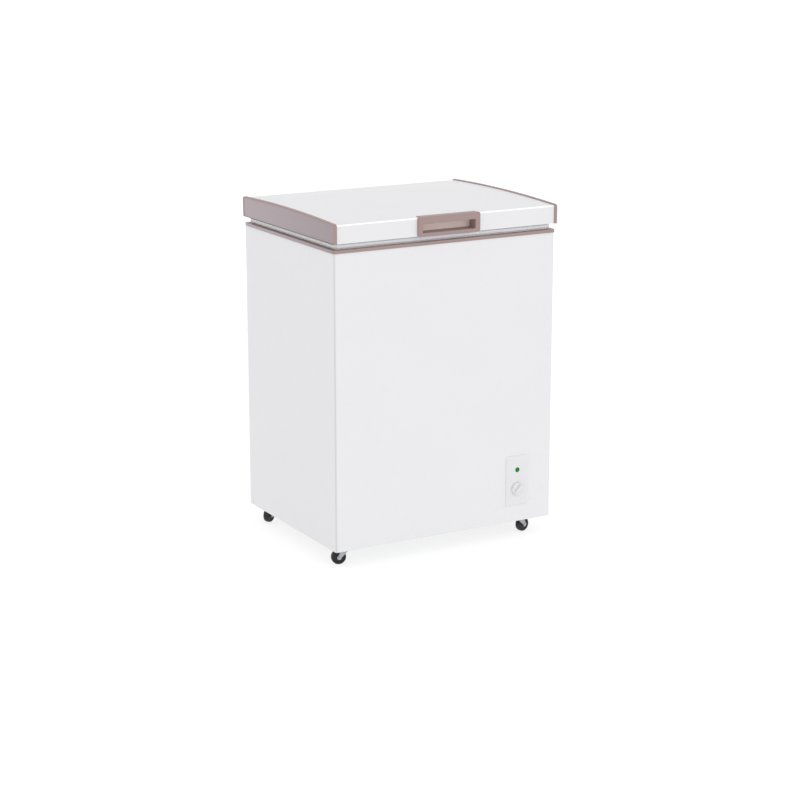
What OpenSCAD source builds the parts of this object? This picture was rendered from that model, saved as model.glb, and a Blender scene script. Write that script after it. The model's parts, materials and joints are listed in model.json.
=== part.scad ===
// Chest freezer on four swivel casters, with a hinged lid.
// Millimetres. +Z is up, the front faces -Y. The origin is on the floor, under the
// middle of the cabinet.

/* [Cabinet] */
// Width across the outside of the side panels
body_w = 615; // [560:5:760]
// Depth from the front panel to the back panel
body_d = 472; // [460:1:600]
// Height of the outer shell
body_h = 730; // [680:10:880]
// Thickness of the insulated walls
wall_t = 55; // [48:1:64]
// Thickness of the insulated floor
floor_t = 60; // [50:1:80]
// Insulation between the machine compartment and the liner
step_t = 45; // [36:1:60]
// Thickness of the outer steel sheet
sheet_t = 1; // [0.6:0.1:1.2]
// Thickness of the base plate
base_t = 1.5; // [1:0.1:2]
// Thickness of the inner liner
liner_t = 2; // [1:0.25:2.5]
// Bend radius of the shell's upright front corners
shell_r = 5; // [3:0.5:10]
// Corner radius inside the liner
liner_r = 22; // [14:1:32]
// Width of the fold along the shell's lower edge
hem_w = 12; // [8:1:20]

/* [Machine compartment] */
// Clear width of the machine compartment
comp_w = 190; // [176:1:210]
// Clear height of the machine compartment
comp_h = 215; // [206:1:240]

/* [Rim] */
// Height of the coloured rim collar
collar_h = 7.5; // [6:0.5:12]
// How far the collar stands out from the body
collar_out = 2; // [1:0.5:4]
// Thickness of the collar's top web
collar_t = 2.5; // [2:0.25:3]
// Height of the lid seal
seal_h = 15.5; // [12:0.5:20]
// How far the seal's bead lies inside the body's sides
seal_in = 6; // [2:0.5:12]
// Width of the seal
seal_w = 20; // [14:1:26]
// Depth of the ledge that carries the basket, below the rim
ledge_drop = 38; // [34:1:50]
// Width of the basket ledge
ledge_w = 8; // [6:0.5:10]

/* [Lid] */
// Overhang of the lid at each side
lid_out = 3; // [3:0.5:9]
// Overhang of the lid at the front
lid_front_out = 5; // [3:0.5:9]
// Height of the white lid skin at its crown
crown_h = 51.5; // [46:0.5:64]
// Distance of the crown behind the middle
crown_y = 25; // [0:5:40]
// Radius of the arched lid top
arch_r = 5200; // [4600:100:7000]
// Radius of the lid's long front and back edges
lid_edge_r = 4; // [4:0.5:10]
// Thickness of the lid skin
lid_skin_t = 1; // [0.6:0.1:1.2]
// Thickness of each end cap
cap_t = 8; // [6:0.5:12]
// How far the end caps' rims stand above the lid skin
cap_proud = 2.5; // [1:0.25:3]
// Width of the rim round an end cap's face
cap_rim = 4; // [3:0.5:6]
// Depth of the panel inside that rim
cap_recess = 1.2; // [0.6:0.1:2]
// Length of the tongue that plugs an end cap into the skin
tongue = 12; // [8:1:16]
// Thickness of the lid's inner panel
panel_t = 2; // [1.5:0.25:2.5]
// How far the inner panel's raised centre reaches down
plug_h = 24; // [18:1:28]
// Gap between that centre and the liner
plug_gap = 12; // [8:1:20]

/* [Handle] */
// Width of the handle
handle_w = 172; // [150:1:220]
// How far the handle stands out from the lid
handle_out = 6; // [4:0.5:7]
// Width of the finger slot
slot_w = 146; // [110:1:150]
// Height of the finger slot
slot_h = 22; // [18:0.5:24]
// Height of the slot above the lid's lower edge
slot_up = 8; // [6:0.5:9]
// Depth of the finger slot from the handle's face
slot_deep = 28; // [20:1:40]
// Wall thickness of the handle's pocket
pocket_t = 2.5; // [1.5:0.25:3]
// Length of the flange that laps over the lid's top
flange_l = 15; // [10:1:20]
// Thickness of that flange
flange_t = 1.8; // [1:0.1:2.5]

/* [Control panel] */
// Width of the bezel
bezel_w = 66; // [60:1:80]
// Height of the bezel
bezel_h = 130; // [120:1:150]
// How far the bezel stands out from the shell
bezel_out = 3; // [2:0.5:4]
// Distance from the body's right side to the bezel's centre
bezel_in = 100; // [80:1:110]
// Height of the bezel's centre above the body's lower edge
bezel_up = 107; // [90:1:120]
// Corner radius of the bezel
bezel_r = 6; // [3:0.5:10]
// Diameter of the thermostat knob
knob_d = 33; // [26:1:38]
// Distance of the knob below the bezel's centre
knob_down = 21; // [18:1:24]
// Thickness of the knob's disc
knob_t = 4; // [3:0.5:5]
// Height of the grip bar on the knob
grip_h = 5.7; // [4:0.1:8]
// Rest angle of the grip bar
grip_angle = 48; // [0:1:90]
// Diameter of the lamp lens
lamp_d = 13; // [9:0.5:16]
// Height of the lamp above the bezel's centre
lamp_up = 28.5; // [24:0.5:34]

/* [Hinges] */
// Distance from the body's side to the middle of a hinge
hinge_in = 110; // [80:5:150]
// Length of a hinge along its pin
hinge_w = 50; // [50:2:70]
// Diameter of the hinge pin
pin_d = 5; // [4:0.5:5]
// Outer diameter of the rolled knuckles
knuckle_d = 11; // [10:0.5:11]
// Thickness of the hinge leaves
leaf_t = 2; // [1.5:0.25:2]
// Height of the cabinet leaf
leaf_h = 50; // [40:1:60]

/* [Basket] */
// Width of the basket along the freezer
basket_w = 200; // [150:5:240]
// Depth of the basket below its rim
basket_h = 180; // [120:5:210]
// Diameter of the basket's wires
wire_d = 4; // [3:0.5:5]

/* [Casters] */
// Height of the body's lower edge above the floor
caster_h = 43; // [43:1:52]
// Diameter of the wheels
wheel_d = 37; // [34:1:37]
// Width of the wheels
wheel_w = 16; // [12:1:20]
// Distance from a swivel axis to its wheel's axle
trail = 24; // [22:1:28]
// Distance from the body's left side to the left swivel axes
caster_in_left = 50; // [46:1:60]
// Distance from the body's right side to the right swivel axes
caster_in_right = 80; // [46:1:90]
// Distance from the body's front and back to the swivel axes
caster_in_y = 33; // [33:1:60]
// Direction of each wheel from its swivel axis: front left, front right, rear left, rear right
caster_turn = [165, 14, 212, 330];

/* [Refrigeration] */
// Diameter of the condenser tube
cond_d = 5; // [4:0.5:6]
// Diameter of the evaporator tube
evap_d = 8; // [6:0.5:8]
// Diameter of the capillary tube
cap_tube_d = 2; // [1.5:0.5:3]
// Height of the compressor's shell
pot_h = 138; // [110:1:140]
// Diameter of the compressor's shell
pot_d = 120; // [100:1:124]

/* [Hidden] */
$fn = 48;

WHITE = [0.93, 0.93, 0.94];
MAUVE = [0.64, 0.56, 0.55];
GREY = [0.77, 0.77, 0.79];
STEEL = [0.72, 0.73, 0.75];
BLACK = [0.09, 0.09, 0.1];
COPPER = [0.72, 0.45, 0.3];
FOAM = [0.93, 0.86, 0.66];

// Small gaps used throughout
fit_gap = 0.2;    // between pieces that are pushed together
run_gap = 0.05;   // between a shaft and its bore, on the radius
lift_gap = 0.3;   // between faces that part when something moves
wrap_gap = 0.8;   // round the tubes that are wound on the liner and the shell
eps = 1;          // overshoot of a cut

// Cabinet levels and faces
half_w = body_w / 2;
half_d = body_d / 2;
in_w = half_w - sheet_t;
in_d = half_d - sheet_t;
base_z = caster_h;
plate_z = base_z + sheet_t;
foam_z = plate_z + base_t;
shell_top = base_z + body_h;
rim_z = shell_top + collar_h;
web_z = rim_z - collar_t;
lid_z = rim_z + seal_h;
collar_wall = collar_out + sheet_t + 1.5;

// Machine compartment, at the right
comp_x = in_w - comp_w;
comp_top = foam_z + comp_h;

// Freezer space
cav_w = body_w - 2 * wall_t;
cav_d = body_d - 2 * wall_t;
cav_z = base_z + floor_t;
step_x = comp_x - step_t;
step_z = comp_top + step_t;
ledge_z = rim_z - ledge_drop;
liner_lip = 12;

// Pipe chase in the rear right corner
chase_x = half_w - 31;
chase_y = half_d - 36.5;
duct = [half_w - 3.8, half_d - 29.5];        // discharge riser
back_duct = [half_w - 3.8, half_d - 15.5];   // condenser return
suction_xy = [half_w - 18, half_d - 7.5];
capillary_xy = [half_w - 25, half_d - 14.5];

// Condenser and evaporator runs
runs = 6;
run_0 = step_z + 15;
cond_pitch = (shell_top - 65 - run_0) / (runs - 1);
evap_0 = step_z + 40;
evap_pitch = (ledge_z - 40 - evap_0) / (runs - 1);
cond_hw = in_w - wrap_gap - cond_d / 2;
cond_front = -(in_d - wrap_gap - cond_d / 2);
cond_rear = half_d - 60;
cond_r = 25;
evap_hw = cav_w / 2 + liner_t + wrap_gap + evap_d / 2;
evap_front = -(cav_d / 2 + liner_t + wrap_gap + evap_d / 2);
evap_rear = cav_d / 2 - liner_r - 10;
evap_end = cav_d / 2 + liner_t + 12;
evap_r = liner_r + liner_t + evap_d / 2;
cond_top = run_0 + (runs - 1) * cond_pitch;
evap_top = evap_0 + (runs - 1) * evap_pitch;

// Compressor
pot_x = comp_x + comp_w / 2 - 5;
pot_y = half_d - 152;
mount_z = foam_z + 12;
mount_t = 2.5;
pot_z = mount_z + mount_t;
foot_x = 45;
foot_y = 70;
grommet_r = 8;
bolt_r = 4;
stub_r = evap_d / 2;
stub_x = 22;
stub_y = pot_y + pot_d / 2 + 12;
suction_z = pot_z + pot_h * 0.75;
discharge_z = pot_z + pot_h * 0.42;

// Filter drier
drier_r = 9;
drier_xy = [half_w - 35, half_d - 29.5];
drier_top = comp_top - 22;
drier_h = 62;

// Control panel
bezel_x = half_w - bezel_in;
bezel_z = base_z + bezel_up;
bezel_y = -half_d - bezel_out;
bezel_lip = 6.5;
boss_t = 3.5;
knob_z = bezel_z - knob_down;
lamp_z = bezel_z + lamp_up;
spindle_r = 3;
stat = [40, 26, 34];
stat_y = -half_d + boss_t;
sensor_x = bezel_x + 27;
sensor_y = evap_front - evap_d / 2 - wrap_gap - 3.5;
sensor_r = 1.5;

// Hinges
lid_front = -(half_d + lid_front_out);
pivot_y = half_d + knuckle_d / 2;
pivot_z = lid_z - knuckle_d / 2 - 0.5;
leaf_sink = 6;
lid_rear = pivot_y + knuckle_d / 2 - leaf_sink;
hinge_x = half_w - hinge_in;
outer_knuckle = 10;
inner_knuckle = 9.7;
screw_r = 2;
screw_head_r = 4;
screw_head_h = 2;

// Lid
lid_w = body_w + 2 * lid_out;
skin_w = lid_w - 2 * cap_t;
crown_z = lid_z + crown_h;
cap_r = lid_edge_r + cap_proud;
plug_w = cav_w - 2 * plug_gap;
plug_d = cav_d - 2 * plug_gap;

// Basket
basket_gap = liner_r - 4;
basket_x = cav_w / 2 - basket_w / 2 - basket_gap;
basket_top = ledge_z + wire_d / 2 + lift_gap;
basket_d = cav_d - 24;

// Drain
drain_x = -cav_w / 2 + 110;
drain_r = 9;
drain_bore = 7;
spigot_r = 8;
spigot_h = 9;

// Casters
wheel_r = wheel_d / 2;
swivel_x = [caster_in_left - half_w, half_w - caster_in_right];
swivel = [for (sy = [-1, 1], x = swivel_x) [x, sy * (half_d - caster_in_y)]];
top_plate = [44, 38, 2];
kingpin_r = 3.5;
axle_r = 2.5;
fork_t = 1.6;
web_top = wheel_d + 1.6 + fork_t;
fork_gap = wheel_w / 2 + 1;

// Rear grille
grille_w = comp_w - 8;
grille_h = comp_h - 9;
grille_x = comp_x + comp_w / 2;
grille_z = foam_z + comp_h / 2;
grille_t = 2;
gland_xz = [comp_x + 28, foam_z + 30];
gland_r = 8;
gland_bore = 4.2;

// ---------------------------------------------------------------- helpers

// Rounded rectangle centred on the origin
module rrect(w, d, r) {
    square([w - 2 * r, d], center = true);
    square([w, d - 2 * r], center = true);
    for (sx = [-1, 1], sy = [-1, 1])
        translate([sx * (w / 2 - r), sy * (d / 2 - r)]) circle(r);
}

// Upright block with rounded corners, from z0 to z1
module rblock(w, d, r, z0, z1) {
    translate([0, 0, z0]) linear_extrude(z1 - z0) rrect(w, d, r);
}

// Extrudes an outline drawn in Y and Z along X, about the middle
module along_x(length) {
    rotate([90, 0, 90]) linear_extrude(length, center = true) children();
}

// Extrudes an outline drawn in X and Z from y towards the front
module to_front(y, t) {
    translate([0, y, 0]) rotate([90, 0, 0]) linear_extrude(t) children();
}

// Box between two corners
module block(lo, hi) {
    translate(lo) cube(hi - lo);
}

function arc_points(c, r, a0, a1, n) =
    [for (i = [0:n]) let (a = a0 + (a1 - a0) * i / n) c + r * [cos(a), sin(a)]];

function unit(v) = v / norm(v);

// Corner at p, coming from a and leaving for b, rounded to radius r
function round_corner(a, p, b, r, n) =
    let (u = unit(a - p), v = unit(b - p), half = acos(u * v) / 2)
    let (t = min(r / tan(half), 0.49 * norm(a - p), 0.49 * norm(b - p)))
    let (rr = t * tan(half), c = p + unit(u + v) * rr / sin(half))
    let (e = unit(p + u * t - c), f = unit(p + v * t - c), sweep = acos(e * f))
    [for (i = [0:n]) let (s = i / n)
        c + rr * (e * sin((1 - s) * sweep) + f * sin(s * sweep)) / sin(sweep)];

// A route with every corner rounded
function route(p, r, n = 4) = concat(
    [p[0]],
    [for (i = [1:len(p) - 2]) each round_corner(p[i - 1], p[i], p[i + 1], r, n)],
    [p[len(p) - 1]]);

function heading(p, i) = unit(p[min(i + 1, len(p) - 1)] - p[max(i - 1, 0)]);
function carried(side, t) = unit(side - (side * t) * t);
function sides_of(p, i, side) = i >= len(p) ? [] :
    let (s = carried(side, heading(p, i))) concat([s], sides_of(p, i + 1, s));

// Round tube swept along a route
module sweep_tube(p, d, n = 8) {
    first = heading(p, 0);
    side = sides_of(p, 0, abs(first.z) < 0.9 ? [0, 0, 1] : [1, 0, 0]);
    points = [for (i = [0:len(p) - 1], k = [0:n - 1])
        let (t = heading(p, i), a = 360 * k / n)
        p[i] + d / 2 * (cos(a) * side[i] + sin(a) * cross(t, side[i]))];
    last = (len(p) - 1) * n;
    walls = [for (i = [0:len(p) - 2], k = [0:n - 1])
        let (m = (k + 1) % n)
        each [[i * n + k, (i + 1) * n + k, (i + 1) * n + m], [i * n + k, (i + 1) * n + m, i * n + m]]];
    polyhedron(points, concat([[for (k = [0:n - 1]) k]], walls,
        [[for (k = [n - 1:-1:0]) last + k]]), convexity = 10);
}

// Route of a tube that runs to and fro round the front and both sides
function wrap(hw, front, rear, z0, pitch) = [for (i = [0:runs - 1])
    let (z = z0 + i * pitch, s = i % 2 == 0 ? 1 : -1)
    each [[s * hw, rear, z], [s * hw, front, z], [-s * hw, front, z], [-s * hw, rear, z]]];

// Places children at both hinges
module at_hinges() {
    for (s = [-1, 1]) translate([s * hinge_x, pivot_y, pivot_z]) children();
}

// Pan-head screw: its head's underside is at the origin, its shank points down -Z
module screw(length) {
    cylinder(h = screw_head_h, r = screw_head_r);
    translate([0, 0, -length]) cylinder(h = length + 0.01, r = screw_r);
}

// ---------------------------------------------------------------- cabinet

// Freezer space, grown sideways and down by g
module cavity(g, top) {
    r = liner_r + g;
    left = -cav_w / 2;
    translate([(left + step_x) / 2, 0, 0])
        rblock(step_x - left + 2 * g, cav_d + 2 * g, r, cav_z - g, top);
    rblock(cav_w + 2 * g, cav_d + 2 * g, r, step_z - g, top);
    rblock(cav_w + 2 * g, cav_d + 2 * (ledge_w + g), r, ledge_z - g, top);
}

// Outline of the front and the sides, inset by i, open at the back
module body_outline(i) {
    r = max(shell_r - i, 0.5);
    rrect(body_w - 2 * i, body_d - 2 * i, r);
    translate([-half_w + i, 0]) square([body_w - 2 * i, half_d - i]);
}

module outer_shell() {
    color(WHITE) difference() {
        translate([0, 0, base_z]) linear_extrude(body_h) body_outline(0);
        translate([0, 0, plate_z]) linear_extrude(body_h) body_outline(sheet_t);
        block([-in_w, in_d - eps, plate_z], [in_w, half_d + eps, shell_top + eps]);
        block([-in_w + hem_w, -in_d + hem_w, base_z - eps], [in_w - hem_w, half_d + eps, plate_z + eps]);
        to_front(-in_d + eps, 3) translate([bezel_x, bezel_z])
            rrect(bezel_w - 2 * bezel_lip, bezel_h - 2 * bezel_lip, 3);
    }
}

module back_panel() {
    color(WHITE) difference() {
        block([-in_w, in_d, plate_z + base_t], [in_w, half_d, shell_top]);
        to_front(half_d + eps, 4) translate([grille_x, grille_z])
            rrect(grille_w - 16, grille_h - 16, 4);
        for (p = grille_screw_points()) translate([p.x, half_d, p.y]) screw_hole();
        for (s = [-1, 1], p = leaf_screw_points())
            translate([s * hinge_x + p.x, half_d, p.y]) screw_hole();
    }
}

module screw_hole() {
    rotate([90, 0, 0]) cylinder(h = 40, r = screw_r + run_gap, center = true);
}

function grille_screw_points() = [for (sx = [-1, 1], sz = [-1, 1])
    [grille_x + sx * (grille_w / 2 - 6), grille_z + sz * (grille_h / 2 - 6)]];
function leaf_screw_points() = [[-15, shell_top - 12], [15, shell_top - 12], [0, shell_top - 26]];
function caster_screw_points() = [for (sx = [-1, 1], sy = [-1, 1]) [sx * 17, sy * 15]];

module base_plate() {
    color(STEEL) difference() {
        translate([0, 0, plate_z]) linear_extrude(base_t) body_outline(sheet_t);
        for (s = swivel, p = caster_screw_points()) translate([s.x + p.x, s.y + p.y, plate_z])
            cylinder(h = 10, r = screw_r + run_gap, center = true);
        for (sx = [-1, 1], sy = [-1, 1]) translate([pot_x + sx * foot_x, pot_y + sy * foot_y, plate_z])
            cylinder(h = 10, r = bolt_r + fit_gap, center = true);
        translate([drain_x, 0, plate_z]) cylinder(h = 10, r = drain_r + fit_gap, center = true);
        for (i = [0:5]) block([comp_x + 30, -150 + i * 18, plate_z - eps],
            [in_w - 40, -143 + i * 18, foam_z + eps]);
    }
}

module compartment_panel() {
    color(STEEL) difference() {
        translate([0, 0, foam_z]) linear_extrude(comp_h + sheet_t) intersection() {
            body_outline(sheet_t);
            translate([comp_x - sheet_t, -in_d]) square([comp_w + sheet_t, 2 * in_d]);
        }
        block([comp_x, -in_d - eps, foam_z - eps], [in_w + eps, in_d + eps, comp_top]);
        block([chase_x, chase_y, comp_top - eps], [in_w + eps, in_d + eps, comp_top + 2 * eps]);
        translate([sensor_x, sensor_y, comp_top]) cylinder(h = 6, r = sensor_r + 1, center = true);
    }
}

// Foam under and beside the floor, up to the underside of the step
module cabinet_foam() {
    color(FOAM) intersection() {
        poured_foam();
        block([-half_w, -half_d, foam_z - 1], [half_w, half_d, step_z - liner_t]);
    }
}

// Foam in the four walls above the step
module wall_foam() {
    color(FOAM) intersection() {
        poured_foam();
        block([-half_w, -half_d, step_z - liner_t], [half_w, half_d, rim_z + 1]);
    }
}

module poured_foam() {
    ring = collar_wall - collar_out;
    difference() {
        union() {
            translate([0, 0, foam_z]) linear_extrude(shell_top - foam_z) intersection() {
                body_outline(sheet_t);
                translate([-in_w, -in_d]) square([2 * in_w, 2 * in_d]);
            }
            rblock(body_w - 2 * ring, body_d - 2 * ring, shell_r, shell_top - eps, web_z);
        }
        cavity(liner_t, rim_z);
        rblock(cav_w + 2 * (liner_t + liner_lip), cav_d + 2 * (ledge_w + liner_t + liner_lip),
            liner_r + liner_lip, web_z - liner_t, rim_z);
        block([comp_x - sheet_t, -half_d, foam_z - eps], [half_w, half_d, comp_top + sheet_t]);
        condenser_grooves();
        evaporator_grooves();
        block([chase_x, chase_y, comp_top], [half_w, half_d, cond_top + 12]);
        for (z = [evap_0, evap_top])
            block([evap_hw - evap_d, evap_rear, z - evap_d], [half_w - 20, half_d, z + evap_d]);
        translate([sensor_x, sensor_y, comp_top]) cylinder(h = 170, r = sensor_r + 1);
        translate([drain_x, 0, foam_z - eps]) cylinder(h = floor_t, r = drain_r + fit_gap);
        for (s = [-1, 1], p = leaf_screw_points())
            translate([s * hinge_x + p.x, half_d, p.y]) screw_hole();
        for (s = swivel, p = caster_screw_points()) translate([s.x + p.x, s.y + p.y, foam_z])
            cylinder(h = 14, r = screw_r, center = true);
    }
}

module condenser_grooves() {
    w = cond_d + 2 * wrap_gap;
    for (i = [0:runs - 1]) translate([0, 0, run_0 + i * cond_pitch - w / 2]) linear_extrude(w)
        difference() {
            translate([-half_w, -half_d]) square([body_w, half_d + cond_rear + w / 2]);
            translate([0, half_d / 2]) rrect(2 * cond_hw - w, -2 * cond_front - w + half_d, cond_r - w / 2);
        }
    for (i = [0:runs - 2]) {
        s = i % 2 == 0 ? -1 : 1;
        z = run_0 + i * cond_pitch;
        translate([s * cond_hw - w / 2, cond_rear - cond_r, z - w / 2]) cube([w, cond_r + w / 2, cond_pitch + w]);
    }
    for (z = [run_0, cond_top])
        block([cond_hw - w / 2, cond_rear, z - w / 2], [half_w, half_d, z + w / 2]);
}

module evaporator_grooves() {
    w = evap_d + 2 * wrap_gap;
    for (i = [0:runs - 1])
        rblock(2 * evap_hw + w, -2 * evap_front + w, evap_r + w / 2,
            evap_0 + i * evap_pitch - w / 2, evap_0 + i * evap_pitch + w / 2);
    for (i = [0:runs - 2]) {
        s = i % 2 == 0 ? -1 : 1;
        z = evap_0 + i * evap_pitch;
        translate([s * evap_hw - w / 2, evap_rear - evap_r, z - w / 2]) cube([w, evap_r + w / 2, evap_pitch + w]);
    }
}

module inner_liner() {
    color(WHITE) difference() {
        union() {
            cavity(liner_t, web_z);
            rblock(cav_w + 2 * (liner_t + liner_lip), cav_d + 2 * (ledge_w + liner_t + liner_lip),
                liner_r + liner_lip, web_z - liner_t, web_z);
        }
        cavity(0, rim_z);
        translate([drain_x, 0, cav_z]) cylinder(h = 20, r = drain_r + fit_gap, center = true);
    }
}

module rim_collar() {
    ring = collar_wall - collar_out;
    color(MAUVE) difference() {
        rblock(body_w + 2 * collar_out, body_d + 2 * collar_out, shell_r + collar_out, shell_top, rim_z);
        rblock(body_w - 2 * ring, body_d - 2 * ring, shell_r, shell_top - eps, web_z);
        cavity(0, rim_z + eps);
        for (s = [-1, 1])
            block([s * hinge_x - hinge_w / 2 - 2, half_d, shell_top - eps],
                [s * hinge_x + hinge_w / 2 + 2, half_d + 20, rim_z + eps]);
    }
}

module drain_tube() {
    color(WHITE) translate([drain_x, 0, 0]) difference() {
        union() {
            translate([0, 0, base_z]) cylinder(h = cav_z - base_z, r = drain_r);
            translate([0, 0, base_z - spigot_h]) cylinder(h = spigot_h + eps, r = spigot_r);
        }
        cylinder(h = cav_z + 10, r = drain_bore);
    }
}

module drain_plug() {
    color(GREY) translate([drain_x, 0, cav_z]) {
        translate([0, 0, lift_gap]) cylinder(h = 4, r = 14);
        translate([0, 0, -16]) cylinder(h = 16 + lift_gap + 1, r = drain_bore - 2 * run_gap);
        translate([-9, -1.5, lift_gap + 3]) cube([18, 3, 9]);
    }
}

// ---------------------------------------------------------------- refrigeration

module condenser_tube() {
    loops = wrap(cond_hw, cond_front, cond_rear, run_0, cond_pitch);
    inner = [for (i = [1:len(loops) - 2]) loops[i]];
    color(COPPER) sweep_tube(route(concat(
        [[cond_hw, duct.y, run_0]], inner,
        [[cond_hw, back_duct.y, cond_top], [cond_hw, back_duct.y, comp_top - 8],
        [drier_xy.x, drier_xy.y, comp_top - 8], [drier_xy.x, drier_xy.y, drier_top]]), cond_r), cond_d);
}

module discharge_line() {
    x = pot_x - stub_x;
    color(COPPER) sweep_tube(route([
        [x, stub_y, discharge_z], [x, duct.y, discharge_z], [cond_hw, duct.y, discharge_z],
        [cond_hw, duct.y, run_0 - cond_d / 2]], 12), cond_d);
}

module suction_line() {
    x = pot_x + stub_x;
    color(COPPER) sweep_tube(route([
        [x, stub_y, suction_z], [x, suction_xy.y, suction_z], [suction_xy.x, suction_xy.y, suction_z],
        [suction_xy.x, suction_xy.y, evap_top], [evap_hw, suction_xy.y, evap_top],
        [evap_hw, evap_end, evap_top]], 14), evap_d);
}

module evaporator_tube() {
    loops = wrap(evap_hw, evap_front, evap_rear, evap_0, evap_pitch);
    inner = [for (i = [1:len(loops) - 2]) loops[i]];
    color(STEEL) sweep_tube(route(concat([[evap_hw, evap_end, evap_0]], inner,
        [[evap_hw, evap_end, evap_top]]), evap_r), evap_d);
}

module filter_drier() {
    color(COPPER) translate([drier_xy.x, drier_xy.y, drier_top - drier_h]) {
        cylinder(h = drier_h, r = drier_r - 3);
        translate([0, 0, 6]) cylinder(h = drier_h - 12, r = drier_r);
    }
}

module capillary_tube() {
    low = drier_top - drier_h;
    color(COPPER) sweep_tube(route([
        [drier_xy.x, drier_xy.y, low], [drier_xy.x, drier_xy.y, low - 14],
        [capillary_xy.x, capillary_xy.y, low - 14], [capillary_xy.x, capillary_xy.y, evap_0],
        [evap_hw, capillary_xy.y, evap_0], [evap_hw, evap_end, evap_0]], 6), cap_tube_d);
}

module compressor() {
    color(BLACK) translate([pot_x, pot_y, pot_z]) {
        rotate_extrude() intersection() {
            translate([0, pot_h / 2]) rrect(pot_d, pot_h, 26);
            square([pot_d, pot_h]);
        }
        translate([0, 0, pot_h * 0.55]) cylinder(h = 4, r = pot_d / 2 + 3);
        for (s = [[stub_x, suction_z, stub_r], [-stub_x, discharge_z, cond_d / 2]])
            translate([s.x, 0, s.y - pot_z]) rotate([-90, 0, 0]) cylinder(h = stub_y - pot_y, r = s.z);
    }
}

module compressor_base() {
    color(BLACK) difference() {
        translate([pot_x, pot_y, mount_z]) linear_extrude(mount_t) difference() {
            rrect(2 * foot_x + 30, 2 * foot_y + 30, 12);
            for (sx = [-1, 1], sy = [-1, 1]) translate([sx * foot_x, sy * foot_y])
                circle(grommet_r + fit_gap);
            circle(22);
        }
    }
}

module compressor_grommets() {
    color(BLACK) for (sx = [-1, 1], sy = [-1, 1])
        translate([pot_x + sx * foot_x, pot_y + sy * foot_y, foam_z]) difference() {
            union() {
                cylinder(h = mount_z - foam_z, r = grommet_r + 4);
                cylinder(h = pot_z - foam_z + 3, r = grommet_r);
                translate([0, 0, pot_z - foam_z]) cylinder(h = 3, r = grommet_r + 3);
            }
            translate([0, 0, -eps]) cylinder(h = 40, r = bolt_r + fit_gap);
        }
}

module compressor_bolts() {
    head = pot_z + 3;
    color(STEEL) for (sx = [-1, 1], sy = [-1, 1])
        translate([pot_x + sx * foot_x, pot_y + sy * foot_y, 0]) {
            translate([0, 0, plate_z - 4]) cylinder(h = 4, r = 7, $fn = 6);
            translate([0, 0, plate_z - 5]) cylinder(h = head - plate_z + 6, r = bolt_r);
            translate([0, 0, head]) cylinder(h = 1.5, r = 9);
            translate([0, 0, head + 1.5]) cylinder(h = 5, r = 7, $fn = 6);
        }
}

module start_relay() {
    color([0.2, 0.2, 0.22]) translate([pot_x, pot_y, pot_z]) difference() {
        translate([0, -pot_d / 2 - 6, pot_h * 0.28]) linear_extrude(48) rrect(46, 36, 4);
        cylinder(h = pot_h, r = pot_d / 2 + fit_gap);
        translate([0, 0, pot_h * 0.55 - fit_gap]) cylinder(h = 4 + 2 * fit_gap, r = pot_d / 2 + 3 + fit_gap);
    }
}

module wiring_harness() {
    y = pot_y - pot_d / 2 - 24;
    color(BLACK) sweep_tube(route([
        [pot_x, y, pot_z + pot_h * 0.28 + 12], [pot_x, y - 30, pot_z + pot_h * 0.28 + 12],
        [pot_x, y - 30, foam_z + 18], [pot_x, stat_y + 70, foam_z + 18],
        [bezel_x, stat_y + 50, foam_z + 18], [bezel_x, stat_y + 50, knob_z],
        [bezel_x, stat_y + stat.y, knob_z]], 12), 6);
}

// ---------------------------------------------------------------- back

module rear_grille() {
    bars = 9;
    pitch = (grille_h - 66) / (bars - 1);
    color(BLACK) difference() {
        to_front(half_d + grille_t, grille_t) translate([grille_x, grille_z]) rrect(grille_w, grille_h, 6);
        for (i = [0:bars - 1], s = [-1, 1])
            to_front(half_d + 3 * grille_t, 5 * grille_t)
                translate([grille_x + s * (grille_w / 4 - 3), grille_z - grille_h / 2 + 50 + i * pitch])
                square([grille_w / 2 - 22, 5], center = true);
        for (p = grille_screw_points()) translate([p.x, half_d, p.y]) screw_hole();
        translate([gland_xz.x, half_d, gland_xz.y]) rotate([90, 0, 0])
            cylinder(h = 20, r = gland_r + fit_gap, center = true);
    }
}

module cord_gland() {
    color(BLACK) translate([gland_xz.x, half_d + grille_t, gland_xz.y]) rotate([90, 0, 0]) difference() {
        union() {
            translate([0, 0, -4]) cylinder(h = 4, r = gland_r + 3);
            cylinder(h = grille_t, r = gland_r);
            translate([0, 0, grille_t]) cylinder(h = 5, r = gland_r + 2);
        }
        translate([0, 0, -10]) cylinder(h = 30, r = gland_bore);
    }
}

module back_screws() {
    color(STEEL) {
        for (p = grille_screw_points()) translate([p.x, half_d + grille_t, p.y]) rotate([-90, 0, 0]) screw(grille_t + 8);
        for (s = [-1, 1], p = leaf_screw_points())
            translate([s * hinge_x + p.x, half_d + leaf_t, p.y]) rotate([-90, 0, 0]) screw(leaf_t + 8);
    }
}

// ---------------------------------------------------------------- control panel

module control_bezel() {
    color(WHITE) difference() {
        union() {
            to_front(-half_d, bezel_out) translate([bezel_x, bezel_z]) rrect(bezel_w, bezel_h, bezel_r);
            to_front(-half_d + boss_t, boss_t + eps) translate([bezel_x, bezel_z])
                rrect(bezel_w - 2 * (bezel_lip + fit_gap), bezel_h - 2 * (bezel_lip + fit_gap), 3);
        }
        translate([bezel_x, -half_d, knob_z]) rotate([90, 0, 0]) cylinder(h = 20, r = spindle_r + 1, center = true);
        translate([bezel_x, -half_d, lamp_z]) rotate([90, 0, 0])
            cylinder(h = 20, r = lamp_d / 2 + fit_gap, center = true);
    }
}

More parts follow.
